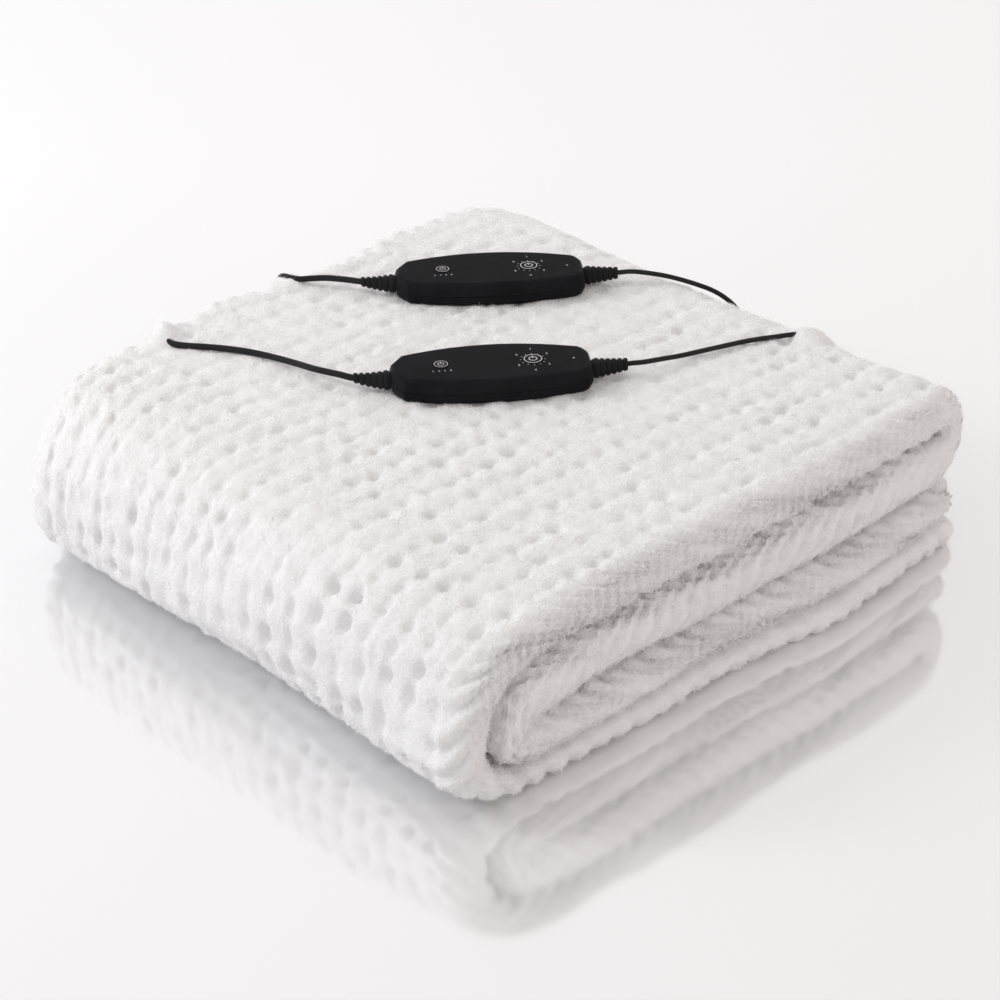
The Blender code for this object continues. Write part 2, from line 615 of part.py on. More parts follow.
def add_plug(side, coil_middle):
    """A flat plug, in one with the sleeve at its cord, and its two round pins; it lies beside the coil."""
    middle = coil_middle + PLUG_MIDDLE
    outline = [
        (-PLUG_HALF_LENGTH, PLUG_HALF_NECK), (-0.55 * PLUG_HALF_LENGTH, 0.75 * PLUG_HALF_WIDTH),
        (0.25 * PLUG_HALF_LENGTH, PLUG_HALF_WIDTH), (PLUG_HALF_LENGTH, 0.92 * PLUG_HALF_WIDTH),
    ]
    outline += [(x, -y) for x, y in reversed(outline)]
    build = bmesh.new()
    base = build.faces.new([build.verts.new((x, y, -PLUG_HALF_HEIGHT)) for x, y in outline])
    raised = bmesh.ops.extrude_face_region(build, geom=[base])["geom"]
    upper = [v for v in raised if isinstance(v, bmesh.types.BMVert)]
    bmesh.ops.translate(build, vec=(0.0, 0.0, 2 * PLUG_HALF_HEIGHT), verts=upper)
    body = add_object(side + "_plug", mesh_of(build), PLUG_PLASTIC)
    body.location = middle
    soft = body.modifiers.new("rounding", "BEVEL")
    soft.width = PLUG_ROUND
    soft.segments = 2
    soft.limit_method = "ANGLE"
    lying = (0.0, math.radians(90), 0.0)
    back = middle - Vector((PLUG_HALF_LENGTH, 0.0, 0.0))
    relief = add_relief(side + "_plug_sleeve", PLUG_RELIEF_ROOT, PLUG_RELIEF_TIP, MAINS_RADIUS, (0.0, 0.0))
    relief.location = back
    relief.rotation_euler = (0.0, math.radians(-90), 0.0)
    PARTS.objects.unlink(relief)
    CUTTERS.objects.link(relief)
    combine(body, relief, "UNION")
    for number, y in ((1, -PIN_HALF_SPACING), (2, PIN_HALF_SPACING)):
        face = middle + Vector((PLUG_HALF_LENGTH, y, 0.0))
        cut(body, f"{side}_pin_seat_{number}", PIN_RADIUS + CLEARANCE, 2 * PIN_SEAT, 16, face, lying)
        profile = [
            (0.0, PIN_LENGTH), (0.55 * PIN_RADIUS, PIN_LENGTH), (PIN_RADIUS, PIN_LENGTH - 0.5 * PIN_RADIUS),
            (PIN_RADIUS, CLEARANCE - PIN_SEAT), (0.0, CLEARANCE - PIN_SEAT),
        ]
        pin = turned(f"{side}_plug_pin_{number}", profile, 14, PIN_METAL)
        pin.location = face
        pin.rotation_euler = lying


def add_connector(side, hub):
    """A flat moulded connector on the floor against the lowest hem, and the lead that ends in it."""
    x, y = CONNECTOR_PLACES[side]
    build = bmesh.new()
    bmesh.ops.create_cube(build, size=1.0)
    bmesh.ops.scale(build, vec=CONNECTOR_SIZE, verts=build.verts)
    block = add_object(side + "_lead_connector", mesh_of(build), PLUG_PLASTIC)
    block.location = (x + CONNECTOR_SIZE.x / 2, y, CONNECTOR_SIZE.z / 2)
    soft = block.modifiers.new("rounding", "BEVEL")
    soft.width = CONNECTOR_ROUND
    soft.segments = 2
    outer = Vector((x + CONNECTOR_SIZE.x, y, CONNECTOR_SIZE.z / 2))
    cut(
        block, side + "_lead_seat", LEAD_RADIUS + CLEARANCE, 2 * CONNECTOR_BORE, 16,
        outer, (0.0, math.radians(90), 0.0),
    )
    last = [outer, outer - Vector((CONNECTOR_BORE - CLEARANCE, 0.0, 0.0))]
    route = exit_points(side, hub, "lead", 1) + LEAD_ROUTES[side] + last
    tube(side + "_blanket_lead", route, LEAD_RADIUS, SHEATH)


make_blanket()
for SIDE_NAME in CONTROLLERS:
    HUB = add_controller(SIDE_NAME)
    add_plug(SIDE_NAME, add_mains_lead(SIDE_NAME, HUB))
    add_connector(SIDE_NAME, HUB)
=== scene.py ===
"""Folded fleece heated blanket with its two corded hand controllers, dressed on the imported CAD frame.

Metres, +Z up, in the frame's own space. The cloth is one sheet: s runs along its length and t across
its width, as it would lie flat, and place() folds a point of it into the pile.
"""

import math

import bmesh
import bpy
import numpy as np
from mathutils import Matrix, Vector


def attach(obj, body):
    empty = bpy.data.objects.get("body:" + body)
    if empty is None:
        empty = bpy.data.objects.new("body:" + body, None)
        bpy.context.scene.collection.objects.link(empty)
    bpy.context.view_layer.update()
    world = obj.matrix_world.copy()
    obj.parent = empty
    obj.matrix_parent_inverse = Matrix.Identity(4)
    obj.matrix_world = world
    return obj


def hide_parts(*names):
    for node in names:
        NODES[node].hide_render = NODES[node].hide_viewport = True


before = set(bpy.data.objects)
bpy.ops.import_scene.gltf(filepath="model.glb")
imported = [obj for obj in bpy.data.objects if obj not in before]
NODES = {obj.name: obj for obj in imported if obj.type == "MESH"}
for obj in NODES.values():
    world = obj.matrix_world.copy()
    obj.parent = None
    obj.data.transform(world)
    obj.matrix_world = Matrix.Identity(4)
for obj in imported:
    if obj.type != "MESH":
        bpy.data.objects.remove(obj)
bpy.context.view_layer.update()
ROOT = "blanket_and_controllers"
SIDES = ("rear", "front")

# ---- camera ----
CAMERA_PLACE = (-1.12624, -1.16503, 0.97180)
CAMERA_PITCH = 30.04  # degrees below the horizon
CAMERA_HEADING = 44.26  # degrees from +Y towards +X
CAMERA_LENS = 97.44  # on a sensor 36 mm wide

# ---- light ----
BRIGHT_SIDE = (-0.45, 0.75, -0.30)  # the side of the room that is palest
ROOM_DARK = (0.74, 0.68, 0.645)
ROOM_BRIGHT = (1.05, 1.075, 1.115)
LAMPS = {
    # name: place, size, power and colour
    "key": ((-1.50, 1.65, 1.35), 0.6, 26.5, (1.0, 1.0, 1.0)),
    "low": ((-2.30, -0.60, 0.14), 0.6, 4.5, (1.0, 0.99, 1.0)),
    "fill": ((0.60, -2.60, 0.55), 1.4, 11.0, (1.0, 0.90, 0.83)),
}
FLOOR_HALF = 8.0
FLOOR_DROP = 0.0004  # below the object's underside
FLOOR_MIRROR = 0.57  # share of the light that the floor mirrors
FLOOR_ROUGHNESS = 0.09
FLOOR_AWAY = (0.698, 0.716, 0.0)  # the camera's heading on the floor
FLOOR_SHADE_REACH = 0.7  # from the origin to where its colour is all near or all far
FLOOR_NEAR_SHADED = (0.90, 0.90, 0.91)  # painted shade: colours of the floor towards the camera, darker, and away from it, paler, in place of light falling off across it
FLOOR_FAR_LIT = (0.985, 0.985, 0.99)

# ---- black mouldings ----
MOULDINGS = {
    # slot: dark and light colour, roughness, scale and depth of the grain, specular level
    "cord_sheath": ((0.010, 0.010, 0.011), (0.020, 0.020, 0.021), 0.42, 500.0, 0.00006, 0.12),
    "plug_plastic": ((0.012, 0.012, 0.013), (0.020, 0.020, 0.021), 0.40, 1400.0, 0.00005, 0.12),
    "case_plastic": ((0.0094, 0.0094, 0.0104), (0.0128, 0.0128, 0.0142), 0.34, 1800.0, 0.00003, 0.012),
    "button_plastic": ((0.010, 0.010, 0.011), (0.014, 0.014, 0.015), 0.38, 1800.0, 0.00003, 0.03),
    "soft_sleeve": ((0.007, 0.007, 0.008), (0.013, 0.013, 0.014), 0.50, 1200.0, 0.00006, 0.12),
}

# ---- controllers, as in the frame ----
BODY_HALF_LENGTH = 0.0685
AXIS_Z = 0.0086
HEIGHT_MIDDLE = 0.0182
HEIGHT_END = 0.0169
HEAT_BUTTON_X = 0.0282
HEAT_BUTTON_RADIUS = 0.0066
TIMER_BUTTON_X = -0.0342
TIMER_BUTTON_RADIUS = 0.0050
BUTTON_PROUD = 0.0006
CONTROLLERS = {
    # name: middle of the underside, then its turn about x, y and z in degrees
    "rear": ((0.1080, 0.1119, 0.1208), (0.0, -0.36, -39.4)),
    "front": ((0.0042, 0.0031, 0.1215), (0.0, -0.45, -37.9)),
}
CASE_EDGE = 0.0003  # how far the edges of the case and of the smaller mouldings are softened
SMALL_EDGE = 0.0002
SHARP_FROM = 35.0  # degrees between two faces, from which their edge stays sharp
RELIEF_SHARP_FROM = 50.0
RELIEF_LENGTH = 0.0245
RELIEF_BORE = 0.0030
CORD_HELD = 0.0020
RELIEF_BENDS = {
    # name: how far the cord bends the relief's tip back and up
    "rear_mains": (0.0030, 0.0010),
    "rear_lead": (0.0012, 0.0004),
    "front_mains": (0.0038, 0.0012),
    "front_lead": (0.0020, 0.0006),
}

# ---- printing on the controllers ----
PRINT_LIFT = 0.00005  # above the cover
ICON_LIFT = 0.00004  # above a button
HEAT_NUMBERS = 6
HEAT_NUMBER_SIZE = 0.0034
HEAT_NUMBERS_RING = (0.0118, 0.0156)  # half their ring's length and width
HEAT_TICKS = 12
HEAT_TICK = (0.0076, 0.0088, 0.0004)  # from and to this far from the middle, and its width
TIMER_NUMBERS = 4
TIMER_NUMBER_SIZE = 0.0026
TIMER_NUMBER_STEP = 0.0040
TIMER_NUMBERS_FROM = (TIMER_BUTTON_X - 0.0060, -0.0092)
ICON_RING = (0.86, 0.95)  # radii of a button's icon, as shares of the button's
ICON_INNER_RING = (0.36, 0.46)
ICON_STROKE = (0.10, 0.62, 0.11)  # from, to and width, in the same way
LAMP_X = 0.0560
LAMP_RADIUS = 0.0008

# ---- cords; each starts in its controller's strain relief ----
MAINS_RADIUS = 0.00225
LEAD_RADIUS = 0.00175
CORD_POINT_EVERY = 0.0030
CURVE_CUTS = 12  # of each stretch between two route points, before the points are spaced out evenly
MAINS_ROUTES = {
    "rear": [
        (0.0325, 0.1820, 0.1302), (0.0288, 0.1895, 0.1297), (0.0250, 0.1980, 0.1287),
        (0.0198, 0.2075, 0.1268), (0.0150, 0.2150, 0.1252), (0.0122, 0.2222, 0.1248),
        (0.0124, 0.2294, 0.1236), (0.0148, 0.2364, 0.1194), (0.0182, 0.2416, 0.1113),
        (0.0208, 0.2444, 0.0995), (0.0220, 0.2466, 0.0850), (0.0222, 0.2478, 0.0690),
        (0.0216, 0.2485, 0.0520), (0.0206, 0.2494, 0.0350), (0.0218, 0.2514, 0.0195),
        (0.0270, 0.2554, 0.0085), (0.0360, 0.2602, 0.0036), (0.0480, 0.2638, 0.0026),
        (0.0620, 0.2653, 0.0026), (0.0780, 0.2655, 0.0026), (0.0984, 0.2655, 0.0026),
    ],
    "front": [
        (-0.0712, 0.0725, 0.1312), (-0.0738, 0.0830, 0.1304), (-0.0756, 0.0960, 0.1289),
        (-0.0768, 0.1125, 0.1272), (-0.0794, 0.1310, 0.1256), (-0.0845, 0.1494, 0.1247),
        (-0.0925, 0.1655, 0.1244), (-0.1018, 0.1785, 0.1245), (-0.1100, 0.1890, 0.1245),
        (-0.1142, 0.1965, 0.1244), (-0.1148, 0.2040, 0.1242), (-0.1122, 0.2114, 0.1240),
        (-0.1074, 0.2186, 0.1239), (-0.1022, 0.2260, 0.1220), (-0.0978, 0.2328, 0.1162),
        (-0.0950, 0.2376, 0.1056), (-0.0938, 0.2402, 0.0915), (-0.0942, 0.2414, 0.0755),
        (-0.0960, 0.2422, 0.0590), (-0.0984, 0.2430, 0.0430), (-0.1004, 0.2444, 0.0285),
        (-0.1000, 0.2470, 0.0160), (-0.0955, 0.2514, 0.0074), (-0.0870, 0.2572, 0.0034),
        (-0.0765, 0.2625, 0.0026), (-0.0616, 0.2655, 0.0026),
    ],
}
LEAD_ROUTES = {
    "rear": [
        (0.1895, 0.0470, 0.1307), (0.1990, 0.0382, 0.1291), (0.2073, 0.0292, 0.1271),
        (0.2138, 0.0190, 0.1251), (0.2186, 0.0085, 0.1233), (0.2232, -0.0008, 0.1208),
        (0.2285, -0.0085, 0.1158), (0.2345, -0.0142, 0.1078), (0.2383, -0.0182, 0.0972),
        (0.2400, -0.0212, 0.0845), (0.2408, -0.0238, 0.0700), (0.2413, -0.0263, 0.0545),
        (0.2420, -0.0292, 0.0400), (0.2438, -0.0330, 0.0265), (0.2478, -0.0385, 0.0150),
        (0.2550, -0.0450, 0.0068), (0.2655, -0.0515, 0.0027), (0.2785, -0.0550, 0.0021),
        (0.2920, -0.0530, 0.0021), (0.3030, -0.0440, 0.0021), (0.3085, -0.0310, 0.0021),
        (0.3085, -0.0150, 0.0021), (0.3035, 0.0000, 0.0021), (0.2945, 0.0120, 0.0022),
        (0.2830, 0.0185, 0.0026), (0.2700, 0.0200, 0.0036), (0.2591, 0.0200, 0.0040),
        (0.2554, 0.0200, 0.0040),
    ],
    "front": [
        (0.0890, -0.0574, 0.1310), (0.1049, -0.0612, 0.1293), (0.1212, -0.0642, 0.1272),
        (0.1391, -0.0668, 0.1253), (0.1557, -0.0704, 0.1242), (0.1715, -0.0750, 0.1237),
        (0.1848, -0.0805, 0.1236), (0.1955, -0.0860, 0.1234), (0.2052, -0.0910, 0.1234),
        (0.2146, -0.0954, 0.1222), (0.2237, -0.0990, 0.1184), (0.2316, -0.1020, 0.1114),
        (0.2372, -0.1044, 0.1016), (0.2401, -0.1064, 0.0896), (0.2410, -0.1082, 0.0757),
        (0.2412, -0.1100, 0.0610), (0.2417, -0.1124, 0.0465), (0.2432, -0.1157, 0.0320),
        (0.2467, -0.1208, 0.0185), (0.2535, -0.1275, 0.0085), (0.2635, -0.1338, 0.0032),
        (0.2765, -0.1370, 0.0021), (0.2890, -0.1345, 0.0021), (0.2980, -0.1260, 0.0021),
        (0.3005, -0.1140, 0.0022), (0.2950, -0.1025, 0.0023), (0.2840, -0.0955, 0.0028),
        (0.2700, -0.0930, 0.0036), (0.2554, -0.0930, 0.0040), (0.2517, -0.0930, 0.0040),
    ],
}

# ---- coils of the mains leads ----
COIL_RADIUS = 0.0250
COIL_PITCH = 0.0045
COIL_MIDDLES = {"rear": (0.1150, 0.2950), "front": (-0.0450, 0.2950)}
COIL_CELLS = [
    # of each turn: steps out from the middle radius, and up from the floor
    (1, 0), (0, 0), (-1, 0), (-1, 1), (-1, 2), (0, 2), (1, 2), (0, 1), (1, 1),
]
COIL_LIFT = 0.0003  # of the lowest turns above the floor
COIL_STEPS = 40  # points of a turn, and of the part of the last turn before the plug's tail
LAST_TURN_STEPS = 10
COIL_SHIFT_FROM = 300.0  # degrees of each turn from which the cord passes to the next cell
TAIL_ROUTE = [
    (0.0300, 0.0235, 0.0068), (0.0335, 0.0305, 0.0068), (0.0395, 0.0355, 0.0068),
    (0.0465, 0.0376, 0.0068), (0.0560, 0.0380, 0.0068),
]

# ---- the folded sheet, as in the frame ----
CLOTH = 0.0076
LAYER_STEP = CLOTH + 0.0018
BAND = 3 * CLOTH + 2 * 0.0018
BAND_STEP = BAND + 0.0036
EVEN_HEIGHT = 4 * BAND + 3 * 0.0036
PILE_HEIGHT = 0.1205
BIG_FOLD_X = -0.1800
INNER_FOLD_X = -0.1765
BACK_FOLD_X = 0.2105
THIRD_BAND_END_X = 0.2290
LOWEST_BAND_END_X = 0.2305
FRONT_EDGE_Y = -0.2220
BACK_EDGE_Y = 0.2360
TUCKED_HEM_Y = -0.2040
FREE_HEM_Y = 0.2300
SIDE = 0.2400
PRESSED = 0.0125
PRESSED_REACH = 0.0970
BACK_CORNER_ROUND = 0.24
LEFT_CORNER_ROUND = 0.12
LEFT_CORNER_ROUND_ABOVE = 0.10
FRONT_CORNER_ROUND = 0.05
MID = (0.0045, 0.0037)

# ---- how the even pile settles, as in the frame ----
LOW_CORNER = (-0.235, -0.220)
LOW_CORNER_REACH = 0.075
LOW_CORNER_DROP = 0.085
TOP_WAVE = 0.010
TOP_WAVE_X = (14.0, 0.8)  # waves per metre times tau, and phase
TOP_WAVE_Y = (11.0, 0.6)
BACK_OUT = 0.0010
BACK_SKEW = 0.022
BACK_BULGES = [(-0.100, 0.035, -0.0050), (-0.033, 0.026, 0.0070), (0.195, 0.030, 0.0035)]  # x, reach, out
LOW_FRONT_OUT = 0.0055
LOW_FRONT_BULGE = (0.105, 0.060, 0.0085)
SIDE_WAVES = [(0.0020, 12.0, 5.0), (0.0016, 21.0, 9.0)]  # height, and turning along y and up the pile
SIDE_OUT_AT_FRONT = 0.0085
SIDE_IN_AT_BACK = 0.0070

# ---- the pile of the cloth ----
COARSE_STEP = 0.0200  # mesh spacing where nothing shows
FINE_STEP = 0.0024
TURN_CELLS_S = (12, 6, 6)  # coarse cells round the turns along the length
TURN_CELLS_T = (3, 4)  # and across the width
STRETCH_S = (0.75, 1.29, 1.0, 1.88, 0.75, 0.85, 0.75)  # how much finer each run and turn is divided
STRETCH_T = (0, 1.8, 1.0, 1.4, 0)  # 0: not at all
HEM_LINES = [0.0, 0.0010, 0.0030, 0.0070]  # extra mesh lines at a hem
HEM_REACH = 0.0040  # over which a hem rounds off
HEM_FULLER = 0.20  # how much thicker the cloth is at a hem, as a share of its thickness
HEM_FULLER_REACH = 0.014
HIDDEN_DROP = 0.0008  # how much lower the coarse parts of the outer face lie
# Of each noise: its size, the spacing of its cells over the cloth, and its seed.
PIT_STEP_S = 0.0180  # spacing of the pits along the cloth's length
PIT_STEP_T = 0.0216  # spacing of the rows of pits
PIT_DRIFT = 0.12  # how far each row's pits are ahead of the last row's, as a share of their spacing
PIT_STRAY_S = [(0.0024, 0.030, 11), (0.0030, 0.090, 14)]  # how far the pits stray together
PIT_STRAY_T = [(0.0022, 0.034, 12), (0.0030, 0.100, 15)]
PIT_JITTER = 0.0044  # and each on its own
PIT_SEED = 5
PIT_DEPTH = 0.0046
PIT_DEPTHS = (0.10, 1.10)  # share of it that the shallowest pit has, and how much more the deepest has
PIT_HALF_LENGTH = 0.0056
PIT_HALF_WIDTH = 0.0040
PIT_STEEPNESS = 1.3
PIT_RAGGED = (0.45, 0.0060, 16)  # unevenness of the pits' rims
PIT_PATCHES = (0.45, 0.055, 17)  # where they are deeper
PIT_PATCH_SHARES = (0.85, 0.4, 1.1)  # mean, least and most
FAR_PITS_FADE = 0.50  # how much shallower the pits are towards the far edge
FAR_FADE_FROM = 0.10
FAR_FADE_OVER = 0.20
FOLD_PITS_MORE = 0.70  # how much deeper they are low on the big fold
FOLD_MORE_OVER = 0.08
TURN_PITS_FADE = 0.80  # how much shallower they are on the near and far turns
TURN_FADE_FROM = -0.002  # past the end of a turn
TURN_FADE_OVER = 0.008
TURN_WAVES = (0.0022, 0.050, 18)  # unevenness of the near and far turns
VALLEY_DEPTH = 0.0004  # along each row of pits
VALLEY_HALF_WIDTH = 0.0040
CROSS_VALLEY_DEPTH = 0.0004  # from row to row
CROSS_VALLEY_HALF_WIDTH = 0.0036
RIB_VALLEY_DEPTH = 0.0042  # between the ribs that run round the near and far turns of the cloth
RIB_VALLEY_STEEPNESS = 1.5
RIB_PATCHES = (0.55, 0.028, 13)
RIB_PATCH_SHARES = (0.65, 0.1, 1.2)  # mean, least and most
LOWEST_RIBS_FADE = 0.50  # how much shallower these valleys are along the lowest band
LOWEST_FADE_OVER = 0.05
NAP = [(0.0009, 0.0085, 3), (0.0005, 0.0040, 4)]
PILE_RISE = 0.0012  # of the outer face between the pits
SUNK = [  # stretches where a cord sinks in the pile
    MAINS_ROUTES["rear"][5:10], MAINS_ROUTES["front"][11:15], LEAD_ROUTES["front"][9:13],
]
SWELLING = 0.0075  # how far the pile swells over them, and how far around
SWELLING_REACH = 0.0095

# ---- fibres ----
FIBRE_PIECES = 3
FIBRES_PER_PIECE = 190000
FACE_FIBRES_SEED = 30  # of the first piece
HEM_FIBRES = 70000
HEM_FIBRES_SEED = 40
FIBRE_LENGTH = 0.0025
FIBRE_LENGTHS = (0.5, 1.25)  # least and most, as shares of it
FIBRE_WIDTH = 0.00040
FIBRE_WIDTHS = (0.6, 1.3)
FIBRE_ROOT = 0.0004  # below the surface
FIBRES_PAST_TURNS = (0.004, 0.006)  # how far they go on past the far and near turns
FIBRES_ON_FACE = (0.05, 0.01)  # and along the length past the upper bands
FIBRES_BESIDE_TURNS = 0.006  # width beside the turns where they stand on every band
FIBRE_SHARES = (1.0, 1.3, 0.78)  # how thickly they stand on the big fold, the small fold and the rest
PIT_KEEPS_OFF = 0.0035  # depth of a pit in which none stands
SMALL_STEP = 0.0004  # for slopes
FIBRE_TUFTS = (5.0, 0.0070, 21)  # which way they lie, in radians
FIBRE_STRAY = 0.7
FIBRE_LEAN = 40  # degrees from the normal
FIBRE_LEANS = (14, 0.0055, 22)
FIBRE_LEAN_STRAY = 13
FIBRE_LEAN_LIMITS = (5, 80)
TURN_FIBRES_LONGER = 0.15
LONG_FIBRES = (0.95, 0.4)  # chance above which one is long, and how much longer
HEM_STEP = 0.0010  # for slopes at a hem
HEM_LEAN = (38, 16)  # degrees, and their spread
HEM_LEAN_LIMITS = (0, 80)


# ---------------------------------------------------------------- camera, floor and light


def make_camera():
    data = bpy.data.cameras.new("camera")
    data.lens = CAMERA_LENS
    data.sensor_width = 36.0
    camera = bpy.data.objects.new("camera", data)
    bpy.context.scene.collection.objects.link(camera)
    camera.location = CAMERA_PLACE
    camera.rotation_euler = (math.radians(90 - CAMERA_PITCH), 0.0, math.radians(-CAMERA_HEADING))
    bpy.context.scene.camera = camera


def make_floor():
    mesh = bpy.data.meshes.new("floor")
    corners = [(FLOOR_HALF * x, FLOOR_HALF * y, 0) for x, y in ((-1, -1), (1, -1), (1, 1), (-1, 1))]
    mesh.from_pydata(corners, [], [(0, 1, 2, 3)])
    floor = bpy.data.objects.new("floor", mesh)
    bpy.context.scene.collection.objects.link(floor)
    floor.location.z = -FLOOR_DROP
    material, nodes, links, shader = new_material("floor")
    # painted shade: the floor's colour runs from darker towards the camera to paler away from it, standing
    # in for light falling off
    where = nodes.new("ShaderNodeTexCoord")
    away = nodes.new("ShaderNodeVectorMath")
    away.operation = "DOT_PRODUCT"
    away.inputs[1].default_value = FLOOR_AWAY
    share = nodes.new("ShaderNodeMapRange")
    share.inputs["From Min"].default_value = -FLOOR_SHADE_REACH
    share.inputs["From Max"].default_value = FLOOR_SHADE_REACH
    links.new(where.outputs["Object"], away.inputs[0])
    links.new(away.outputs["Value"], share.inputs["Value"])
    tint = ramp_between(nodes, links, share.outputs["Result"], 0.0, 1.0, FLOOR_NEAR_SHADED, FLOOR_FAR_LIT)
    links.new(tint, shader.inputs["Base Color"])
    shader.inputs["Roughness"].default_value = FLOOR_ROUGHNESS
    shader.inputs["Metallic"].default_value = FLOOR_MIRROR
    mesh.materials.append(material)


def make_light():
    """A pale room that is brighter on one side, a soft lamp there and two weak ones nearer the floor."""
    world = bpy.data.worlds.new("studio")
    world.use_nodes = True
    bpy.context.scene.world = world
    nodes, links = world.node_tree.nodes, world.node_tree.links
    where = nodes.new("ShaderNodeTexCoord")
    facing = nodes.new("ShaderNodeVectorMath")
    facing.operation = "DOT_PRODUCT"
    facing.inputs[1].default_value = Vector(BRIGHT_SIDE).normalized()
    colour = nodes.new("ShaderNodeMapRange")
    colour.data_type = "FLOAT_VECTOR"
    colour.inputs[7].default_value = (-1.0, -1.0, -1.0)
    colour.inputs[8].default_value = (1.0, 1.0, 1.0)
    colour.inputs[9].default_value = ROOM_DARK
    colour.inputs[10].default_value = ROOM_BRIGHT
    links.new(where.outputs["Generated"], facing.inputs[0])
    links.new(facing.outputs["Value"], colour.inputs[6])
    links.new(colour.outputs[1], nodes["Background"].inputs["Color"])
    for name, (place_at, size, power, tint) in LAMPS.items():
        data = bpy.data.lights.new(name, "AREA")
        data.size = size
        data.energy = power
        data.color = tint
        lamp = bpy.data.objects.new(name, data)
        bpy.context.scene.collection.objects.link(lamp)
        lamp.visible_glossy = False
        lamp.location = place_at
        lamp.rotation_euler = Vector(place_at).to_track_quat("Z", "Y").to_euler()


# ---------------------------------------------------------------- materials


def new_material(name):
    made = bpy.data.materials.new(name)
    made.use_nodes = True
    nodes = made.node_tree.nodes
    return made, nodes, made.node_tree.links, nodes["Principled BSDF"]


def noise_node(nodes, links, scale, detail=4.0, roughness=0.6):
    where = nodes.new("ShaderNodeTexCoord")
    noise = nodes.new("ShaderNodeTexNoise")
    noise.inputs["Scale"].default_value = scale
    noise.inputs["Detail"].default_value = detail
    noise.inputs["Roughness"].default_value = roughness
    links.new(where.outputs["Object"], noise.inputs["Vector"])
    return noise.outputs["Fac"]


def ramp_between(nodes, links, value, low, high, dark, light):
    """A colour between dark and light, as the value goes from low to high."""
    ramp = nodes.new("ShaderNodeValToRGB")
    ramp.color_ramp.elements[0].position = low
    ramp.color_ramp.elements[0].color = (*dark, 1.0)
    ramp.color_ramp.elements[1].position = high
    ramp.color_ramp.elements[1].color = (*light, 1.0)
    links.new(value, ramp.inputs["Fac"])
    return ramp.outputs["Color"]


def add_tint(nodes, links, shader, scale, low, high, dark, light):
    """A base colour that wavers between dark and light, as a noise goes from low to high."""
    tint = ramp_between(nodes, links, noise_node(nodes, links, scale), low, high, dark, light)
    links.new(tint, shader.inputs["Base Color"])
    return tint


def spread(nodes, links, value, low, high):
    """The value, taken from 0.3 to 0.7, spread from low to high."""
    made = nodes.new("ShaderNodeMapRange")
    made.inputs["From Min"].default_value = 0.3
    made.inputs["From Max"].default_value = 0.7
    made.inputs["To Min"].default_value = low
    made.inputs["To Max"].default_value = high
    links.new(value, made.inputs["Value"])
    return made.outputs["Result"]


def bump_from(nodes, links, shader, value, depth):
    bump = nodes.new("ShaderNodeBump")
    bump.inputs["Distance"].default_value = depth
    links.new(value, bump.inputs["Height"])
    links.new(bump.outputs["Normal"], shader.inputs["Normal"])


def fleece_material(name, dark, light, sheen):
    """Matt, faintly uneven white pile with a fine nap."""
    made, nodes, links, shader = new_material(name)
    add_tint(nodes, links, shader, 60.0, 0.35, 0.65, dark, light)
    shader.inputs["Roughness"].default_value = 1.0
    shader.inputs["Specular IOR Level"].default_value = 0.1
    shader.inputs["Sheen Weight"].default_value = sheen
    shader.inputs["Sheen Roughness"].default_value = 0.6
    bump_from(nodes, links, shader, noise_node(nodes, links, 420.0, 6.0, 0.7), 0.0022)
    return made


def fibre_material(name, dark, light):
    """Fine white fibres, half of whose light goes through them."""
    made, nodes, links, shader = new_material(name)
    tint = add_tint(nodes, links, shader, 60.0, 0.35, 0.65, dark, light)
    shader.inputs["Roughness"].default_value = 1.0
    shader.inputs["Specular IOR Level"].default_value = 0.0
    through = nodes.new("ShaderNodeBsdfTranslucent")
    links.new(tint, through.inputs["Color"])
    both = nodes.new("ShaderNodeMixShader")
    both.inputs["Fac"].default_value = 0.5
    links.new(shader.outputs["BSDF"], both.inputs[1])
    links.new(through.outputs["BSDF"], both.inputs[2])
    links.new(both.outputs["Shader"], nodes["Material Output"].inputs["Surface"])
    return made


def moulded_material(name, dark, light, roughness, grain, depth, specular):
    """Black moulding with a fine grain and slightly uneven gloss."""
    made, nodes, links, shader = new_material(name)
    add_tint(nodes, links, shader, 35.0, 0.3, 0.7, dark, light)
    gloss = spread(nodes, links, noise_node(nodes, links, 90.0), roughness - 0.05, roughness + 0.06)
    links.new(gloss, shader.inputs["Roughness"])
    shader.inputs["Specular IOR Level"].default_value = specular
    bump_from(nodes, links, shader, noise_node(nodes, links, grain, 3.0), depth)
    return made


def metal_material(name):
    """Brass pins with faint draw marks."""
    made, nodes, links, shader = new_material(name)
    add_tint(nodes, links, shader, 120.0, 0.3, 0.7, (0.70, 0.60, 0.38), (0.82, 0.72, 0.50))
    shader.inputs["Metallic"].default_value = 1.0
    gloss = spread(nodes, links, noise_node(nodes, links, 300.0), 0.20, 0.34)
    links.new(gloss, shader.inputs["Roughness"])
    bump_from(nodes, links, shader, noise_node(nodes, links, 900.0), 0.00002)
    return made


def ink_material(name, dark, light):
    """Pale printing, a little worn."""
    made, nodes, links, shader = new_material(name)
    add_tint(nodes, links, shader, 700.0, 0.35, 0.6, dark, light)
    shader.inputs["Roughness"].default_value = 0.6
    return made


# ---------------------------------------------------------------- shared helpers


def add_piece(name, data, material, body=ROOT):
    made = bpy.data.objects.new(name, data)
    bpy.context.scene.collection.objects.link(made)
    data.materials.clear()
    data.materials.append(material)
    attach(made, body)
    return made


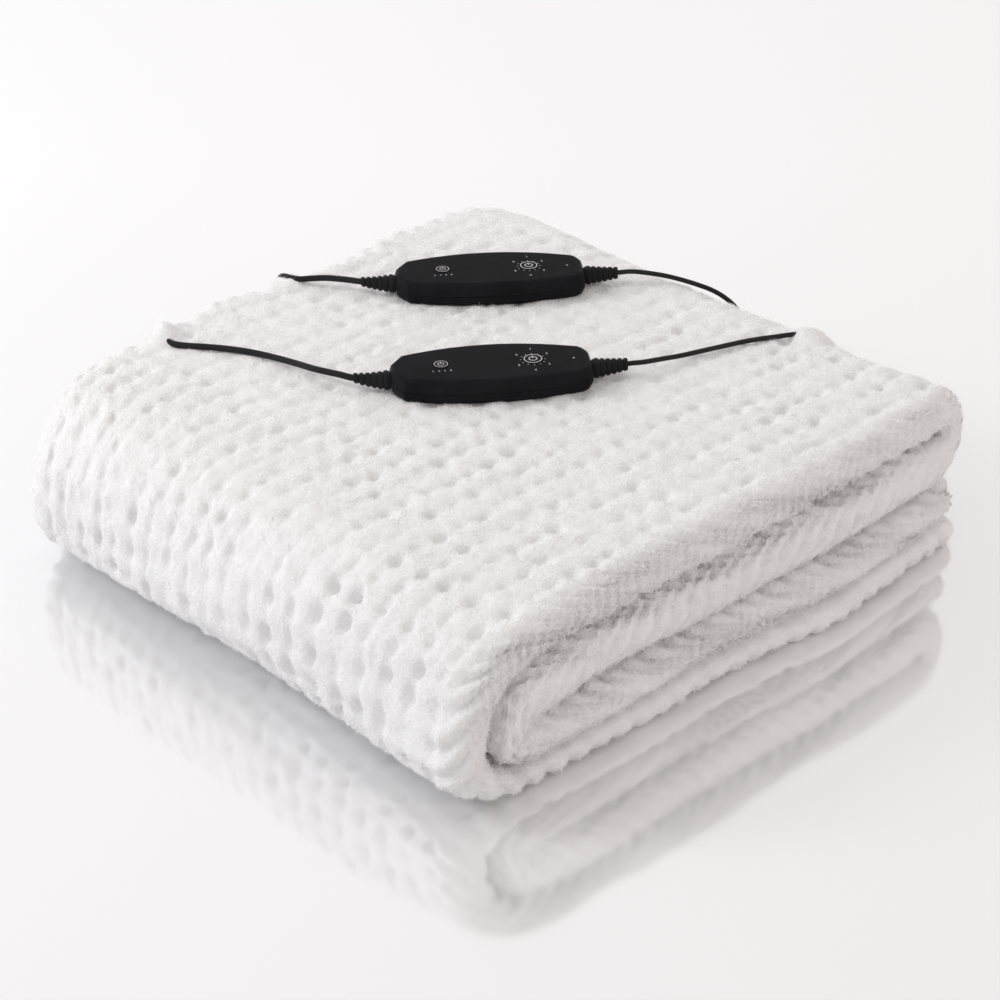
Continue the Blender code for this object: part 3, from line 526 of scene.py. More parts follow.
def dressed(node, slot, edge=0.0, angle=SHARP_FROM, body=ROOT):
    """A smooth-shaded piece of a CAD node's own shape, with its sharp edges softened."""
    build = bmesh.new()
    build.from_mesh(NODES[node].data)
    bmesh.ops.remove_doubles(build, verts=build.verts, dist=0.000002)
    mesh = bpy.data.meshes.new(node + "_shape")
    build.to_mesh(mesh)
    build.free()
    mesh.shade_smooth()
    mesh.set_sharp_from_angle(angle=math.radians(angle))
    piece = add_piece(node + "_dressed", mesh, MATERIALS[slot], body)
    if edge:
        soft = piece.modifiers.new("edges", "BEVEL")
        soft.width = edge
        soft.segments = 2
        soft.limit_method = "ANGLE"
        soft.angle_limit = math.radians(angle)
        soft.use_clamp_overlap = True
    even = piece.modifiers.new("shading", "WEIGHTED_NORMAL")
    even.keep_sharp = True
    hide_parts(node)
    return piece


def smooth_points(route, spacing):
    """Evenly spaced points on a smooth curve through a route's points."""
    route = [Vector(p) for p in route]
    padded = [2 * route[0] - route[1]] + route + [2 * route[-1] - route[-2]]
    fine = [route[0]]
    for before, start, end, after in zip(padded, padded[1:], padded[2:], padded[3:]):
        for i in range(1, CURVE_CUTS + 1):
            t = i / CURVE_CUTS
            bend = (2 * before - 5 * start + 4 * end - after) * t**2
            twist = (3 * start - before - 3 * end + after) * t**3
            fine.append(start + 0.5 * ((end - before) * t + bend + twist))
    fine = np.array([tuple(p) for p in fine])
    lengths = np.concatenate([[0.0], np.cumsum(np.linalg.norm(np.diff(fine, axis=0), axis=1))])
    reaches = np.linspace(0.0, lengths[-1], max(2, round(lengths[-1] / spacing)) + 1)
    return np.stack([np.interp(reaches, lengths, fine[:, i]) for i in range(3)], axis=1)


def add_cord(name, points, radius):
    curve = bpy.data.curves.new(name, "CURVE")
    curve.dimensions = "3D"
    curve.bevel_depth = radius
    curve.bevel_resolution = 4
    curve.use_fill_caps = True
    line = curve.splines.new("POLY")
    line.points.add(len(points) - 1)
    for spot, point in zip(line.points, points):
        spot.co = (*point, 1.0)
    line.use_smooth = True
    return add_piece(name, curve, MATERIALS["cord_sheath"])


def hub_matrix(side):
    place, turns = CONTROLLERS[side]
    turn = Matrix.LocRotScale(Vector(place), None, None)
    for axis, degrees in zip("ZYX", reversed(turns)):
        turn = turn @ Matrix.Rotation(math.radians(degrees), 4, axis)
    return turn


def exit_points(side, word, end):
    """The cord's first two points: in the strain relief's hole and just outside it."""
    back, up = RELIEF_BENDS[f"{side}_{word}"]
    points = []
    for reach in (RELIEF_LENGTH - CORD_HELD, RELIEF_LENGTH + RELIEF_BORE):
        share = (reach / RELIEF_LENGTH) ** 2
        local = Vector((end * (BODY_HALF_LENGTH + reach), share * back, AXIS_Z + share * up))
        points.append(tuple(hub_matrix(side) @ local))
    return points


# ---------------------------------------------------------------- cords, coils, plugs and connectors


def coil_points(side):
    """The turns of a mains lead's coil, each beside or on the last one."""
    middle = COIL_MIDDLES[side]
    points = []
    for turn, cell in enumerate(COIL_CELLS):
        last = turn == len(COIL_CELLS) - 1
        ahead = cell if last else COIL_CELLS[turn + 1]
        for i in range(LAST_TURN_STEPS if last else COIL_STEPS):
            degrees = 360.0 * i / COIL_STEPS
            share = max(0.0, (degrees - COIL_SHIFT_FROM) / (360.0 - COIL_SHIFT_FROM))
            share = share * share * (3 - 2 * share)
            out = cell[0] + share * (ahead[0] - cell[0])
            up = cell[1] + share * (ahead[1] - cell[1])
            angle = math.radians(degrees - 90.0)
            radius = COIL_RADIUS + out * COIL_PITCH
            x, y = middle[0] + radius * math.cos(angle), middle[1] + radius * math.sin(angle)
            points.append((x, y, MAINS_RADIUS + COIL_LIFT + up * COIL_PITCH))
    return points


def add_mains_lead(side):
    middle = COIL_MIDDLES[side]
    tail = [(middle[0] + x, middle[1] + y, z) for x, y, z in TAIL_ROUTE]
    route = exit_points(side, "mains", -1) + MAINS_ROUTES[side] + coil_points(side) + tail
    points = smooth_points(route, CORD_POINT_EVERY)
    lead = add_cord(side + "_mains_cord", points, MAINS_RADIUS)
    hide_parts(side + "_mains_lead", side + "_mains_coil", side + "_plug_lead")
    return lead, route[0]


def add_blanket_lead(side):
    route = exit_points(side, "lead", 1) + LEAD_ROUTES[side]
    lead = add_cord(side + "_lead_cord", smooth_points(route, CORD_POINT_EVERY), LEAD_RADIUS)
    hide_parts(side + "_blanket_lead")
    return lead, route[0]


# ---------------------------------------------------------------- the folded sheet


def fold_runs(first_step):
    """The straight runs and turns of one of the sheet's two folds."""
    if first_step == "width":
        front = FRONT_EDGE_Y + LAYER_STEP + CLOTH / 2
        back = BACK_EDGE_Y - LAYER_STEP / 2 - CLOTH / 2
        return [
            ("run", (TUCKED_HEM_Y, 0.0), (back, 0.0)),
            ("turn", (back, LAYER_STEP / 2), LAYER_STEP / 2, -90, 180),
            ("run", (back, LAYER_STEP), (front, LAYER_STEP)),
            ("turn", (front, 0.0), LAYER_STEP, 90, 180),
            ("run", (front, -LAYER_STEP), (FREE_HEM_Y, -LAYER_STEP)),
        ]
    lowest, third, second, top = (BAND / 2 + BAND_STEP * i for i in range(4))
    return [
        ("run", (LOWEST_BAND_END_X, lowest), (BIG_FOLD_X, lowest)),
        ("turn", (BIG_FOLD_X, (lowest + top) / 2), (top - lowest) / 2, -90, -180),
        ("run", (BIG_FOLD_X, top), (BACK_FOLD_X, top)),
        ("turn", (BACK_FOLD_X, (top + second) / 2), (top - second) / 2, 90, -180),
        ("run", (BACK_FOLD_X, second), (INNER_FOLD_X, second)),
        ("turn", (INNER_FOLD_X, (second + third) / 2), (second - third) / 2, 90, 180),
        ("run", (INNER_FOLD_X, third), (THIRD_BAND_END_X, third)),
    ]


def run_lengths(runs):
    return [
        math.dist(r[1], r[2]) if r[0] == "run" else r[2] * math.radians(abs(r[4]))
        for r in runs
    ]


def along_fold(runs, reach):
    """Points, normals and turned angle at distances along a fold's middle line, as five arrays."""
    starts = np.concatenate([[0.0], np.cumsum(run_lengths(runs))])
    px, pz, nx, nz, turned = (np.zeros_like(reach) for _ in range(5))
    so_far = 0.0
    for k, r in enumerate(runs):
        here = (reach >= starts[k] - 1e-12) & ((reach <= starts[k + 1]) | (k == len(runs) - 1))
        d = reach[here] - starts[k]
        if r[0] == "run":
            start, end = Vector(r[1]), Vector(r[2])
            along = (end - start).normalized()
            px[here], pz[here] = start.x + along.x * d, start.y + along.y * d
            nx[here], nz[here] = -along.y, along.x
            turned[here] = so_far
        else:
            _, centre, radius, start_deg, sweep = r
            side = -math.copysign(1.0, sweep)
            angle = math.radians(start_deg) + math.copysign(1.0, sweep) * d / radius
            px[here], pz[here] = centre[0] + radius * np.cos(angle), centre[1] + radius * np.sin(angle)
            nx[here], nz[here] = side * np.cos(angle), side * np.sin(angle)
            turned[here] = so_far + side * d / radius
            so_far += side * math.radians(abs(sweep))
    return px, pz, nx, nz, turned


def bulge(x, middle, reach, out):
    return out * np.exp(-(((x - middle) / reach) ** 2))


def settle(x, y, z):
    """Where points of the evenly folded pile come to lie."""
    level = z / EVEN_HEIGHT
    low_corner = bulge(x, LOW_CORNER[0], LOW_CORNER_REACH, LOW_CORNER_DROP)
    low_corner = low_corner * bulge(y, LOW_CORNER[1], LOW_CORNER_REACH, 1.0)
    wave = np.sin(TOP_WAVE_X[0] * x + TOP_WAVE_X[1]) * np.cos(TOP_WAVE_Y[0] * y + TOP_WAVE_Y[1])
    height = PILE_HEIGHT / EVEN_HEIGHT * (1 - low_corner) * (1 + TOP_WAVE * wave)
    pressed = np.where(z < PRESSED_REACH, PRESSED * np.sin(math.pi * z / PRESSED_REACH) ** 2, 0.0)
    across = x / SIDE
    to_back = np.maximum(0.0, y / BACK_EDGE_Y)
    to_front = np.maximum(0.0, y / FRONT_EDGE_Y)
    left_round = (LEFT_CORNER_ROUND + LEFT_CORNER_ROUND_ABOVE * level**3) * np.abs(across) ** 5
    inwards = np.where(x > 0, BACK_CORNER_ROUND * across**12, left_round)
    inwards = np.where(y < 0, FRONT_CORNER_ROUND * across**8, inwards)
    back_shift = BACK_OUT + BACK_SKEW * x + sum(bulge(x, *each) for each in BACK_BULGES)
    front_shift = (1 - level) * (LOW_FRONT_OUT + bulge(x, *LOW_FRONT_BULGE))
    settled_y = y * (1 - inwards) + to_back**2 * back_shift - to_front**2 * front_shift
    waver = sum(size * np.sin(along * y + upwards * level) for size, along, upwards in SIDE_WAVES)
    drawn_out = SIDE_OUT_AT_FRONT * to_front**2 - SIDE_IN_AT_BACK * to_back**10
    settled_x = x + waver * np.abs(across) + np.where(x > 0, across**2 * drawn_out, 0.0)
    return np.stack([settled_x - MID[0], settled_y - MID[1], z * height - pressed], axis=1)


LENGTH_RUNS = fold_runs("length")
WIDTH_RUNS = fold_runs("width")
LENGTH_STARTS = np.concatenate([[0.0], np.cumsum(run_lengths(LENGTH_RUNS))])
WIDTH_STARTS = np.concatenate([[0.0], np.cumsum(run_lengths(WIDTH_RUNS))])
FLAT = (WIDTH_STARTS[-1], LENGTH_STARTS[-1])


def place(s, t, out):
    """The folded place of the sheet's points; out is their distance from its middle, outwards."""
    y, offset, ny, n_offset, _ = along_fold(WIDTH_RUNS, t)
    y = y - ny * out
    offset = offset - n_offset * out
    x, z, nx, nz, _ = along_fold(LENGTH_RUNS, s)
    return settle(x + nx * offset, y, z + nz * offset)


def cloth_coordinates(s, t):
    """Distances along and across the outer face itself, which is longer than the middle round a turn."""
    _, offset, _, n_offset, turned_t = along_fold(WIDTH_RUNS, t)
    outer = offset - n_offset * CLOTH / 2
    _, _, _, _, turned_s = along_fold(LENGTH_RUNS, s)
    return s + outer * turned_s, t - CLOTH / 2 * turned_t


def value_noise(u, v, scale, seed):
    """Smooth noise from -1 to 1 over the cloth."""
    table = np.random.default_rng(seed).uniform(-1.0, 1.0, (257, 257))
    a, b = u / scale + 40.0, v / scale + 40.0
    i, j = np.floor(a).astype(int), np.floor(b).astype(int)
    fa, fb = a - i, b - j
    fa, fb = fa * fa * (3 - 2 * fa), fb * fb * (3 - 2 * fb)
    i, j = i % 256, j % 256
    low = table[i, j] * (1 - fa) + table[i + 1, j] * fa
    high = table[i, j + 1] * (1 - fa) + table[i + 1, j + 1] * fa
    return low * (1 - fb) + high * fb


def noises(u, v, parts):
    return sum(size * value_noise(u, v, scale, seed) for size, scale, seed in parts)


def patchy(u, v, noise, shares):
    """A share that wavers over the cloth round its mean, between its least and most."""
    mean, least, most = shares
    return np.clip(mean + noises(u, v, [noise]), least, most)


def pits(s, t):
    """Depth of the pits at points of the cloth, and the points' distances from their row and column."""
    u, v = cloth_coordinates(s, t)
    u = u + noises(u, v, PIT_STRAY_S)
    v = v + noises(u, v, PIT_STRAY_T)
    row = np.round(v / PIT_STEP_T)
    to_row = v - row * PIT_STEP_T
    shifted = u - PIT_DRIFT * PIT_STEP_S * row
    column = np.round(shifted / PIT_STEP_S)
    to_column = shifted - column * PIT_STEP_S
    chances = np.random.default_rng(PIT_SEED).uniform(0.0, 1.0, (3, 256, 256))
    chances = chances[:, column.astype(int) % 256, row.astype(int) % 256]
    du = to_column - PIT_JITTER * (chances[1] - 0.5)
    dv = to_row - PIT_JITTER * (chances[2] - 0.5)
    away = (du / PIT_HALF_LENGTH) ** 2 + (dv / PIT_HALF_WIDTH) ** 2
    away = away * (1 + noises(u, v, [PIT_RAGGED]))
    shape = (PIT_DEPTHS[0] + PIT_DEPTHS[1] * chances[0]) * np.exp(-(away**PIT_STEEPNESS))
    fade = 1 - FAR_PITS_FADE * np.clip((WIDTH_STARTS[3] - t - FAR_FADE_FROM) / FAR_FADE_OVER, 0, 1)
    fade = fade * patchy(u, v, PIT_PATCHES, PIT_PATCH_SHARES)
    fade = fade * (1 + FOLD_PITS_MORE * np.clip((LENGTH_STARTS[2] - s) / FOLD_MORE_OVER, 0, 1))
    return fade * PIT_DEPTH * shape, to_row, to_column


def turn_share(t):
    """1 on the cloth's near and far turns, and 0 on its flat runs."""
    past = [
        np.abs(t - (start + end) / 2) - (end - start) / 2
        for start, end in (WIDTH_STARTS[3:5], WIDTH_STARTS[1:3])
    ]
    return 1 - np.clip((np.minimum(*past) - TURN_FADE_FROM) / TURN_FADE_OVER, 0.0, 1.0)


def swelling(s, t):
    """Share of its full swelling that the pile has, over the stretches of cord that sink in it."""
    points = place(s, t, CLOTH / 2)
    share = np.zeros_like(s)
    for stretch in SUNK:
        for start, end in zip(stretch, stretch[1:]):
            start, along = np.array(start), np.subtract(end, start)
            reach = np.clip((points - start) @ along / (along @ along), 0, 1)
            away = np.linalg.norm(points - start - reach[:, None] * along, axis=1)
            share = np.maximum(share, np.exp(-((away / SWELLING_REACH) ** 2)))
    return share


def pile_height(s, t):
    """How far the outer face stands above its mean level: pits in rows, shallow valleys, uneven nap."""
    u, v = cloth_coordinates(s, t)
    depth, to_row, to_column = pits(s, t)
    round_turn = turn_share(t)
    valleys = VALLEY_DEPTH * np.exp(-((to_row / VALLEY_HALF_WIDTH) ** 2))
    crossing = CROSS_VALLEY_DEPTH * np.exp(-((to_column / CROSS_VALLEY_HALF_WIDTH) ** 2))
    between_ribs = (0.5 + 0.5 * np.cos(math.tau * to_column / PIT_STEP_S)) ** RIB_VALLEY_STEEPNESS
    between_ribs = RIB_VALLEY_DEPTH * between_ribs * patchy(u, v, RIB_PATCHES, RIB_PATCH_SHARES)
    lowest = np.clip((LENGTH_STARTS[1] - s) / LOWEST_FADE_OVER, 0, 1)
    between_ribs = between_ribs * (1 - LOWEST_RIBS_FADE * lowest)
    hollow = (1 - TURN_PITS_FADE * round_turn) * (depth + valleys) + crossing + round_turn * between_ribs
    waves = round_turn * noises(u, v, [TURN_WAVES])
    raised = swelling(s, t)
    return PILE_RISE - (1 - raised) * hollow + SWELLING * raised + waves + noises(u, v, NAP)


def graded_lines(starts, intervals, divisions):
    """Fine line positions, and each coarse interval's first fine line."""
    lines, firsts, counts = [0.0], [], []
    for start, end, count, cuts in zip(starts, starts[1:], intervals, divisions):
        for i in range(count):
            firsts.append(len(lines) - 1)
            counts.append(cuts)
            for j in range(1, cuts + 1):
                lines.append(start + (end - start) * (i + j / cuts) / count)
    return np.array(lines), firsts, counts


def with_hems(starts, intervals, divisions):
    """The same runs with three short intervals at each hem, where the cloth rounds off."""
    outer = [starts[-1] - d for d in reversed(HEM_LINES)]
    new_starts = HEM_LINES + list(starts[1:-1]) + outer
    new_intervals = [1] * 3 + list(intervals) + [1] * 3
    new_divisions = [divisions[0]] * 3 + list(divisions) + [divisions[-1]] * 3
    return new_starts, new_intervals, new_divisions


def line_plan(starts, turn_cells, stretches):
    """Fine lines along one direction of the sheet, with the firsts and divisions of its coarse cells."""
    lengths = np.diff(starts)
    counts = [round(length / COARSE_STEP) for length in lengths]
    counts[1::2] = turn_cells
    cuts = [max(1, round(n / c * f / FINE_STEP)) for n, c, f in zip(lengths, counts, stretches)]
    return graded_lines(*with_hems(starts, counts, cuts))


def sheet_grid():
    """The fine lines of the sheet and which of its coarse cells are finely divided on the outer face."""
    s_lines, s_firsts, s_cuts = line_plan(LENGTH_STARTS, TURN_CELLS_S, STRETCH_S)
    t_lines, t_firsts, t_cuts = line_plan(WIDTH_STARTS, TURN_CELLS_T, STRETCH_T)
    s_mid = s_lines[s_firsts] + 1e-6
    t_mid = t_lines[t_firsts] + 1e-6
    upper = (s_mid > LENGTH_STARTS[1]) & (s_mid < LENGTH_STARTS[4])
    far_turn = (t_mid > WIDTH_STARTS[1]) & (t_mid < WIDTH_STARTS[2])
    near_turn = (t_mid > WIDTH_STARTS[3]) & (t_mid < WIDTH_STARTS[4])
    face = (t_mid > WIDTH_STARTS[2]) & (t_mid < WIDTH_STARTS[3])
    fine = (far_turn | near_turn)[None, :] | (upper[:, None] & face[None, :])
    return s_lines, s_firsts, s_cuts, t_lines, t_firsts, t_cuts, fine


def rim_of(a0, a1, b0, b1, whole):
    """The corners of a coarse cell, with the fine points of the sides that a finer neighbour shares."""
    before_s, after_s, before_t, after_t = whole
    rim = [(a, b0) for a in (range(a0, a1) if before_t else (a0,))]
    rim += [(a1, b) for b in (range(b0, b1) if after_s else (b0,))]
    rim += [(a, b1) for a in (range(a1, a0, -1) if after_t else (a1,))]
    rim += [(a0, b) for b in (range(b1, b0, -1) if before_s else (b1,))]
    return rim


def make_blanket(material):
    """The sheet's mesh: its outer face is fine where it shows, and its inner face is coarse."""
    s_lines, s_firsts, s_cuts, t_lines, t_firsts, t_cuts, fine = sheet_grid()
    rows, columns = len(s_firsts), len(t_firsts)
    last_a, last_b = len(s_lines) - 1, len(t_lines) - 1
    none = np.zeros_like(fine)
    polygons, fine_keys = [], set()

    def is_fine(grid, i, j):
        if i in (-1, rows) or j in (-1, columns):
            return fine[min(max(i, 0), rows - 1), min(max(j, 0), columns - 1)]
        return grid[i, j]

    for layer, grid in ((0, fine), (1, none)):
        for i in range(rows):
            for j in range(columns):
                a0, b0 = s_firsts[i], t_firsts[j]
                a1, b1 = a0 + s_cuts[i], b0 + t_cuts[j]
                if grid[i, j]:
                    cells = [
                        [(a, b), (a + 1, b), (a + 1, b + 1), (a, b + 1)]
                        for a in range(a0, a1) for b in range(b0, b1)
                    ]
                    fine_keys.update((a, b) for a in range(a0, a1 + 1) for b in range(b0, b1 + 1))
                else:
                    whole = (
                        is_fine(grid, i - 1, j), is_fine(grid, i + 1, j),
                        is_fine(grid, i, j - 1), is_fine(grid, i, j + 1),
                    )
                    cells = [rim_of(a0, a1, b0, b1, whole)]
                for cell in cells:
                    keys = [(a, b, 0 if a in (0, last_a) or b in (0, last_b) else layer) for a, b in cell]
                    polygons.append(keys if layer else keys[::-1])
    index = {}
    for keys in polygons:
        for key in keys:
            index.setdefault(key, len(index))
    keys = np.array(list(index))
    s, t = s_lines[keys[:, 0]], t_lines[keys[:, 1]]
    to_hem = np.minimum(np.minimum(s, FLAT[1] - s), np.minimum(t, FLAT[0] - t))
    rounding = np.sqrt(np.clip(1 - (1 - np.clip(to_hem / HEM_REACH, 0, 1)) ** 2, 0, 1))
    shown = np.array([(a, b) in fine_keys for a, b, _ in keys.tolist()])
    half = CLOTH / 2 * rounding * (1 + HEM_FULLER * np.exp(-((to_hem / HEM_FULLER_REACH) ** 2)))
    height = np.where(shown, pile_height(s, t), -HIDDEN_DROP) * rounding
    out = np.where(keys[:, 2] == 0, half + height, -half)
    points = place(s, t, out)
    points[:, 2] = np.maximum(points[:, 2], 0.0)
    mesh = bpy.data.meshes.new("blanket")
    mesh.from_pydata(points.tolist(), [], [[index[key] for key in keys] for keys in polygons])
    mesh.shade_smooth()
    piece = add_piece("blanket_cloth", mesh, material)
    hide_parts("blanket")
    return piece


def unit(vectors):
    return vectors / np.linalg.norm(vectors, axis=1)[:, None]


def add_fibres(name, material, chance, base, normal, along, heading, lean, fuller):
    """A mesh of single fibres that stand on points and lean from the normals towards their headings."""
    across = np.cross(normal, along)
    flat = along * np.cos(heading)[:, None] + across * np.sin(heading)[:, None]
    direction = normal * np.cos(lean)[:, None] + flat * np.sin(lean)[:, None]
    turned = chance.uniform(0.0, math.pi, len(base))
    aside = unit(np.cross(direction, normal))
    aside = aside * np.cos(turned)[:, None] + np.cross(direction, aside) * np.sin(turned)[:, None]
    length = FIBRE_LENGTH * fuller * chance.uniform(*FIBRE_LENGTHS, len(base))
    width = FIBRE_WIDTH * chance.uniform(*FIBRE_WIDTHS, len(base))
    root = base - FIBRE_ROOT * normal
    tip = root + direction * length[:, None]
    half = aside * width[:, None] / 2
    points = np.stack([root - half, root + half, tip], axis=1)
    points[:, :, 2] = np.maximum(points[:, :, 2], 0.0)
    mesh = bpy.data.meshes.new(name)
    mesh.vertices.add(3 * len(base))
    mesh.vertices.foreach_set("co", points.astype(np.float32).ravel())
    mesh.loops.add(3 * len(base))
    mesh.loops.foreach_set("vertex_index", np.arange(3 * len(base), dtype=np.int32))
    mesh.polygons.add(len(base))
    mesh.polygons.foreach_set("loop_start", np.arange(0, 3 * len(base), 3, dtype=np.int32))
    mesh.update()
    return add_piece(name, mesh, material)


def add_face_fibres(name, material, seed):
    """Short loose fibres over the faces that show, lying in tufts."""
    chance = np.random.default_rng(seed)
    many = 3 * FIBRES_PER_PIECE
    s = chance.uniform(0.0, FLAT[1], many)
    far_past, near_past = FIBRES_PAST_TURNS
    t = chance.uniform(WIDTH_STARTS[1] - far_past, WIDTH_STARTS[4] + near_past, many)
    low_past, high_past = FIBRES_ON_FACE
    upper = (s > LENGTH_STARTS[1] - low_past) & (s < LENGTH_STARTS[4] + high_past)
    turns = (t < WIDTH_STARTS[2] + FIBRES_BESIDE_TURNS) | (t > WIDTH_STARTS[3] - FIBRES_BESIDE_TURNS)
    big_fold = (s > LENGTH_STARTS[1]) & (s < LENGTH_STARTS[2])
    small_fold = (s > LENGTH_STARTS[3]) & (s < LENGTH_STARTS[4])
    share = np.select([big_fold, small_fold], FIBRE_SHARES[:2], FIBRE_SHARES[2])
    kept = (upper | turns) & (chance.uniform(0.0, max(FIBRE_SHARES), many) < share)
    s, t = s[kept], t[kept]
    outside = chance.uniform(0.0, PIT_KEEPS_OFF, len(s)) > pits(s, t)[0] * (1 - turn_share(t))
    s, t = s[outside][:FIBRES_PER_PIECE], t[outside][:FIBRES_PER_PIECE]
    base = place(s, t, CLOTH / 2 + pile_height(s, t))
    ds = place(s + SMALL_STEP, t, CLOTH / 2 + pile_height(s + SMALL_STEP, t)) - base
    dt = place(s, t + SMALL_STEP, CLOTH / 2 + pile_height(s, t + SMALL_STEP)) - base
    normal = unit(np.cross(dt, ds))
    outwards = place(s, t, np.full_like(s, CLOTH)) - place(s, t, np.full_like(s, CLOTH / 2))
    normal *= np.sign((normal * outwards).sum(axis=1))[:, None]
    u, v = cloth_coordinates(s, t)
    heading = noises(u, v, [FIBRE_TUFTS]) + chance.normal(0.0, FIBRE_STRAY, len(s))
    lean = FIBRE_LEAN + noises(u, v, [FIBRE_LEANS]) + chance.normal(0.0, FIBRE_LEAN_STRAY, len(s))
    lean = np.radians(np.clip(lean, *FIBRE_LEAN_LIMITS))
    long_from, longer = LONG_FIBRES
    fuller = 1 + TURN_FIBRES_LONGER * turn_share(t)
    fuller = fuller + longer * (chance.uniform(0.0, 1.0, len(s)) > long_from)
    return add_fibres(name, material, chance, base, normal, unit(ds), heading, lean, fuller)


def add_hem_fibres(name, material, seed):
    """Fibres round the hems at the sheet's two ends and along its free edge."""
    chance = np.random.default_rng(seed)
    count = HEM_FIBRES
    edge = chance.integers(0, 3, count)  # the lowest band's end, the third band's end, or the free edge
    around = chance.uniform(-math.pi / 2, math.pi / 2, count)
    inwards = HEM_REACH * (1 - np.cos(around))
    far = chance.uniform(0.0, 1.0, count)
    s = np.where(edge == 0, inwards, np.where(edge == 1, FLAT[1] - inwards, far * FLAT[1]))
    t = np.where(edge == 2, FLAT[0] - inwards, far * FLAT[0])
    out = CLOTH / 2 * (1 + HEM_FULLER) * np.sin(around)
    base = place(s, t, out)
    off_s = np.where(edge == 0, HEM_STEP, np.where(edge == 1, -HEM_STEP, 0.0))
    off_t = np.where(edge == 2, -HEM_STEP, 0.0)
    outwards = unit(base - place(s + off_s, t + off_t, out))
    upwards = unit(place(s, t, out + HEM_STEP) - base)
    normal = unit(outwards * np.cos(around)[:, None] + upwards * np.sin(around)[:, None])
    along = unit(np.cross(outwards, upwards))
    heading = chance.uniform(0.0, math.tau, count)
    lean = np.radians(np.clip(chance.normal(*HEM_LEAN, count), *HEM_LEAN_LIMITS))
    return add_fibres(name, material, chance, base, normal, along, heading, lean, np.ones(count))


# ---------------------------------------------------------------- controllers


def top_height(x):
    """Height of the crowned cover above the controller's underside."""
    return HEIGHT_END + (HEIGHT_MIDDLE - HEIGHT_END) * (1 - (x / BODY_HALF_LENGTH) ** 2)


def ring_faces(build, centre, inner, outer, steps=40):
    turns = [math.tau * i / steps for i in range(steps)]
    loops = [
        [build.verts.new((centre[0] + r * math.cos(a), centre[1] + r * math.sin(a), 0.0)) for a in turns]
        for r in (inner, outer)
    ]
    for i in range(steps):
        j = (i + 1) % steps
        build.faces.new((loops[0][i], loops[1][i], loops[1][j], loops[0][j]))


def bar_face(build, centre, angle, near, far, width):
    """A short printed stroke that points away from a centre."""
    out = Vector((math.cos(angle), math.sin(angle)))
    aside = Vector((-out.y, out.x)) * width / 2
    corners = [out * near - aside, out * far - aside, out * far + aside, out * near + aside]
    build.faces.new([build.verts.new((centre[0] + c.x, centre[1] + c.y, 0.0)) for c in corners])


def add_number(build, text, size, centre):
    """The faces of a printed number, with its top away from the camera."""
    letters = bpy.data.curves.new("number", "FONT")
    letters.body = text
    letters.size = size
    letters.align_x = "CENTER"
    letters.align_y = "CENTER"
    letters.resolution_u = 3
    holder = bpy.data.objects.new("number", letters)
    bpy.context.scene.collection.objects.link(holder)
    bpy.context.view_layer.update()
    mesh = bpy.data.meshes.new_from_object(holder.evaluated_get(bpy.context.evaluated_depsgraph_get()))
    mesh.transform(Matrix.Translation((*centre, 0.0)))
    build.from_mesh(mesh)
    bpy.data.objects.remove(holder)
    bpy.data.curves.remove(letters)
    bpy.data.meshes.remove(mesh)


def add_print(name, side, build, lift, material, body, crowned=True):
    """Printing laid on the controller's top, a hair's breadth above it."""
    for vertex in build.verts:
        height = top_height(vertex.co.x) if crowned else 0.0
        vertex.co.z = height + lift
    mesh = bpy.data.meshes.new(name)
    build.to_mesh(mesh)
    build.free()
    mesh.transform(hub_matrix(side))
    return add_piece(name, mesh, material, body)


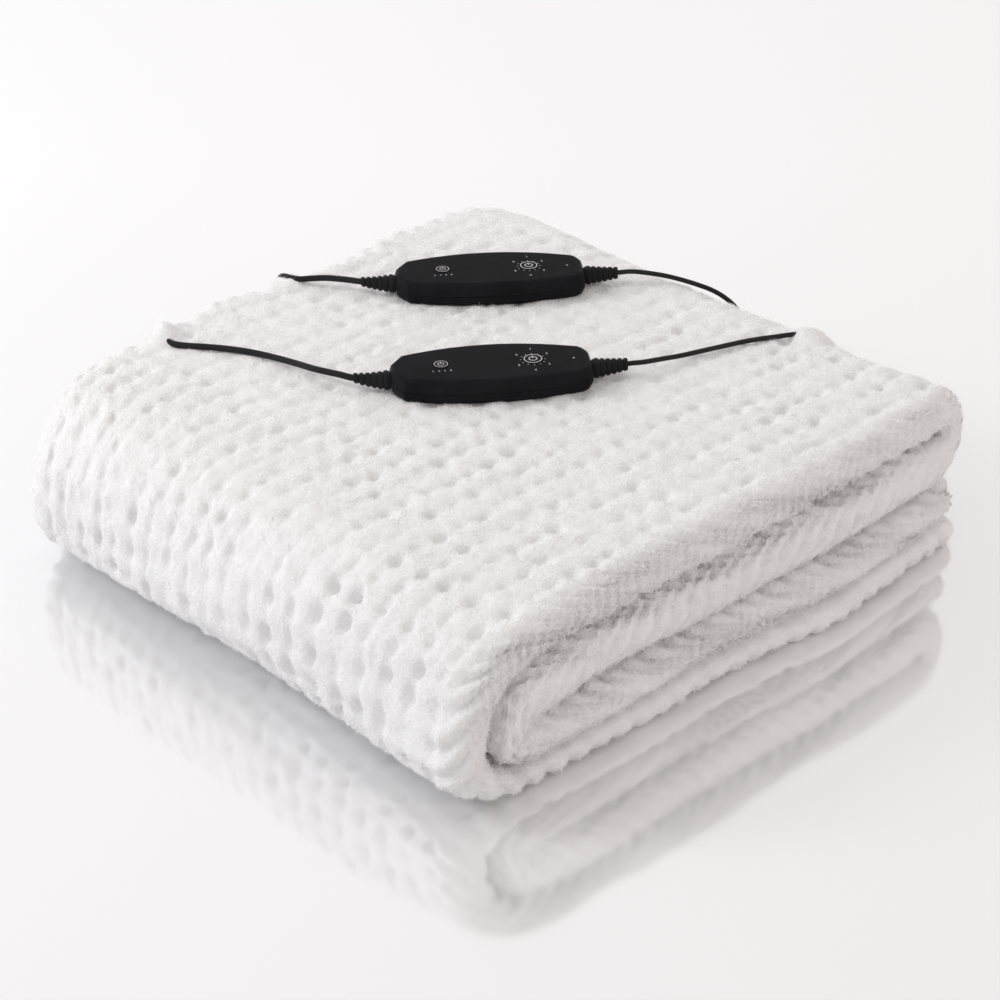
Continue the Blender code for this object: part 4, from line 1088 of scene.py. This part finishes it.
def print_controller(side, ink, faint):
    marks = bmesh.new()
    half_length, half_width = HEAT_NUMBERS_RING
    for i in range(HEAT_NUMBERS):
        angle = math.radians(90) - math.tau * i / HEAT_NUMBERS
        centre = (HEAT_BUTTON_X + half_length * math.cos(angle), half_width * math.sin(angle))
        add_number(marks, str(i + 1), HEAT_NUMBER_SIZE, centre)
    for i in range(HEAT_TICKS):
        bar_face(marks, (HEAT_BUTTON_X, 0.0), math.tau * i / HEAT_TICKS, *HEAT_TICK)
    x, y = TIMER_NUMBERS_FROM
    for i in range(TIMER_NUMBERS):
        add_number(marks, str(2 * (i + 1)), TIMER_NUMBER_SIZE, (x + TIMER_NUMBER_STEP * i, y))
    add_print(side + "_cover_print", side, marks, PRINT_LIFT, ink, ROOT)
    buttons = (("heat", HEAT_BUTTON_X, HEAT_BUTTON_RADIUS), ("timer", TIMER_BUTTON_X, TIMER_BUTTON_RADIUS))
    for word, x, radius in buttons:
        icon = bmesh.new()
        ring_faces(icon, (x, 0.0), *(share * radius for share in ICON_RING))
        ring_faces(icon, (x, 0.0), *(share * radius for share in ICON_INNER_RING), 24)
        bar_face(icon, (x, 0.0), math.radians(90), *(share * radius for share in ICON_STROKE))
        lift = top_height(x) + BUTTON_PROUD + ICON_LIFT
        body = f"{side}_{word}_button_body"
        add_print(f"{side}_{word}_print", side, icon, lift, ink, body, crowned=False)
    lamp = bmesh.new()
    ring_faces(lamp, (LAMP_X, 0.0), 0.0, LAMP_RADIUS, 16)
    add_print(side + "_lamp_print", side, lamp, PRINT_LIFT, faint, ROOT)


# ---------------------------------------------------------------- the whole scene

bpy.context.scene.view_settings.view_transform = "Standard"
make_camera()
make_floor()
make_light()

MATERIALS = {slot: moulded_material(slot, *look) for slot, look in MOULDINGS.items()}
MATERIALS["pin_metal"] = metal_material("pin_metal")
INK = ink_material("ink", (0.42, 0.42, 0.42), (0.62, 0.62, 0.62))
FAINT_INK = ink_material("faint_ink", (0.25, 0.25, 0.25), (0.35, 0.35, 0.35))
FLEECE = fleece_material("fleece", (0.92, 0.917, 0.918), (0.955, 0.952, 0.954), 0.10)
FIBRE = fibre_material("fleece_fibre", (0.955, 0.953, 0.955), (0.98, 0.978, 0.98))

for side in SIDES:
    plug = dressed(side + "_plug", "plug_plastic")
    pins = [dressed(f"{side}_plug_pin_{i}", "pin_metal") for i in (1, 2)]
    mains, start = add_mains_lead(side)
    connector = dressed(side + "_lead_connector", "plug_plastic")
    lead, start = add_blanket_lead(side)

blanket = make_blanket(FLEECE)
fibres = [
    add_face_fibres(f"blanket_fibres_{i + 1}", FIBRE, FACE_FIBRES_SEED + i) for i in range(FIBRE_PIECES)
]
fibres.append(add_hem_fibres("blanket_hem_fibres", FIBRE, HEM_FIBRES_SEED))

for side in SIDES:
    for word in ("base", "cover"):
        dressed(f"{side}_controller_{word}", "case_plastic", CASE_EDGE)
    for word in ("heat", "timer"):
        button = f"{side}_{word}_button"
        dressed(button, "button_plastic", SMALL_EDGE, body=button + "_body")
    for word in ("mains", "lead"):
        dressed(f"{side}_{word}_relief", "soft_sleeve", SMALL_EDGE, RELIEF_SHARP_FROM)
    print_controller(side, INK, FAINT_INK)
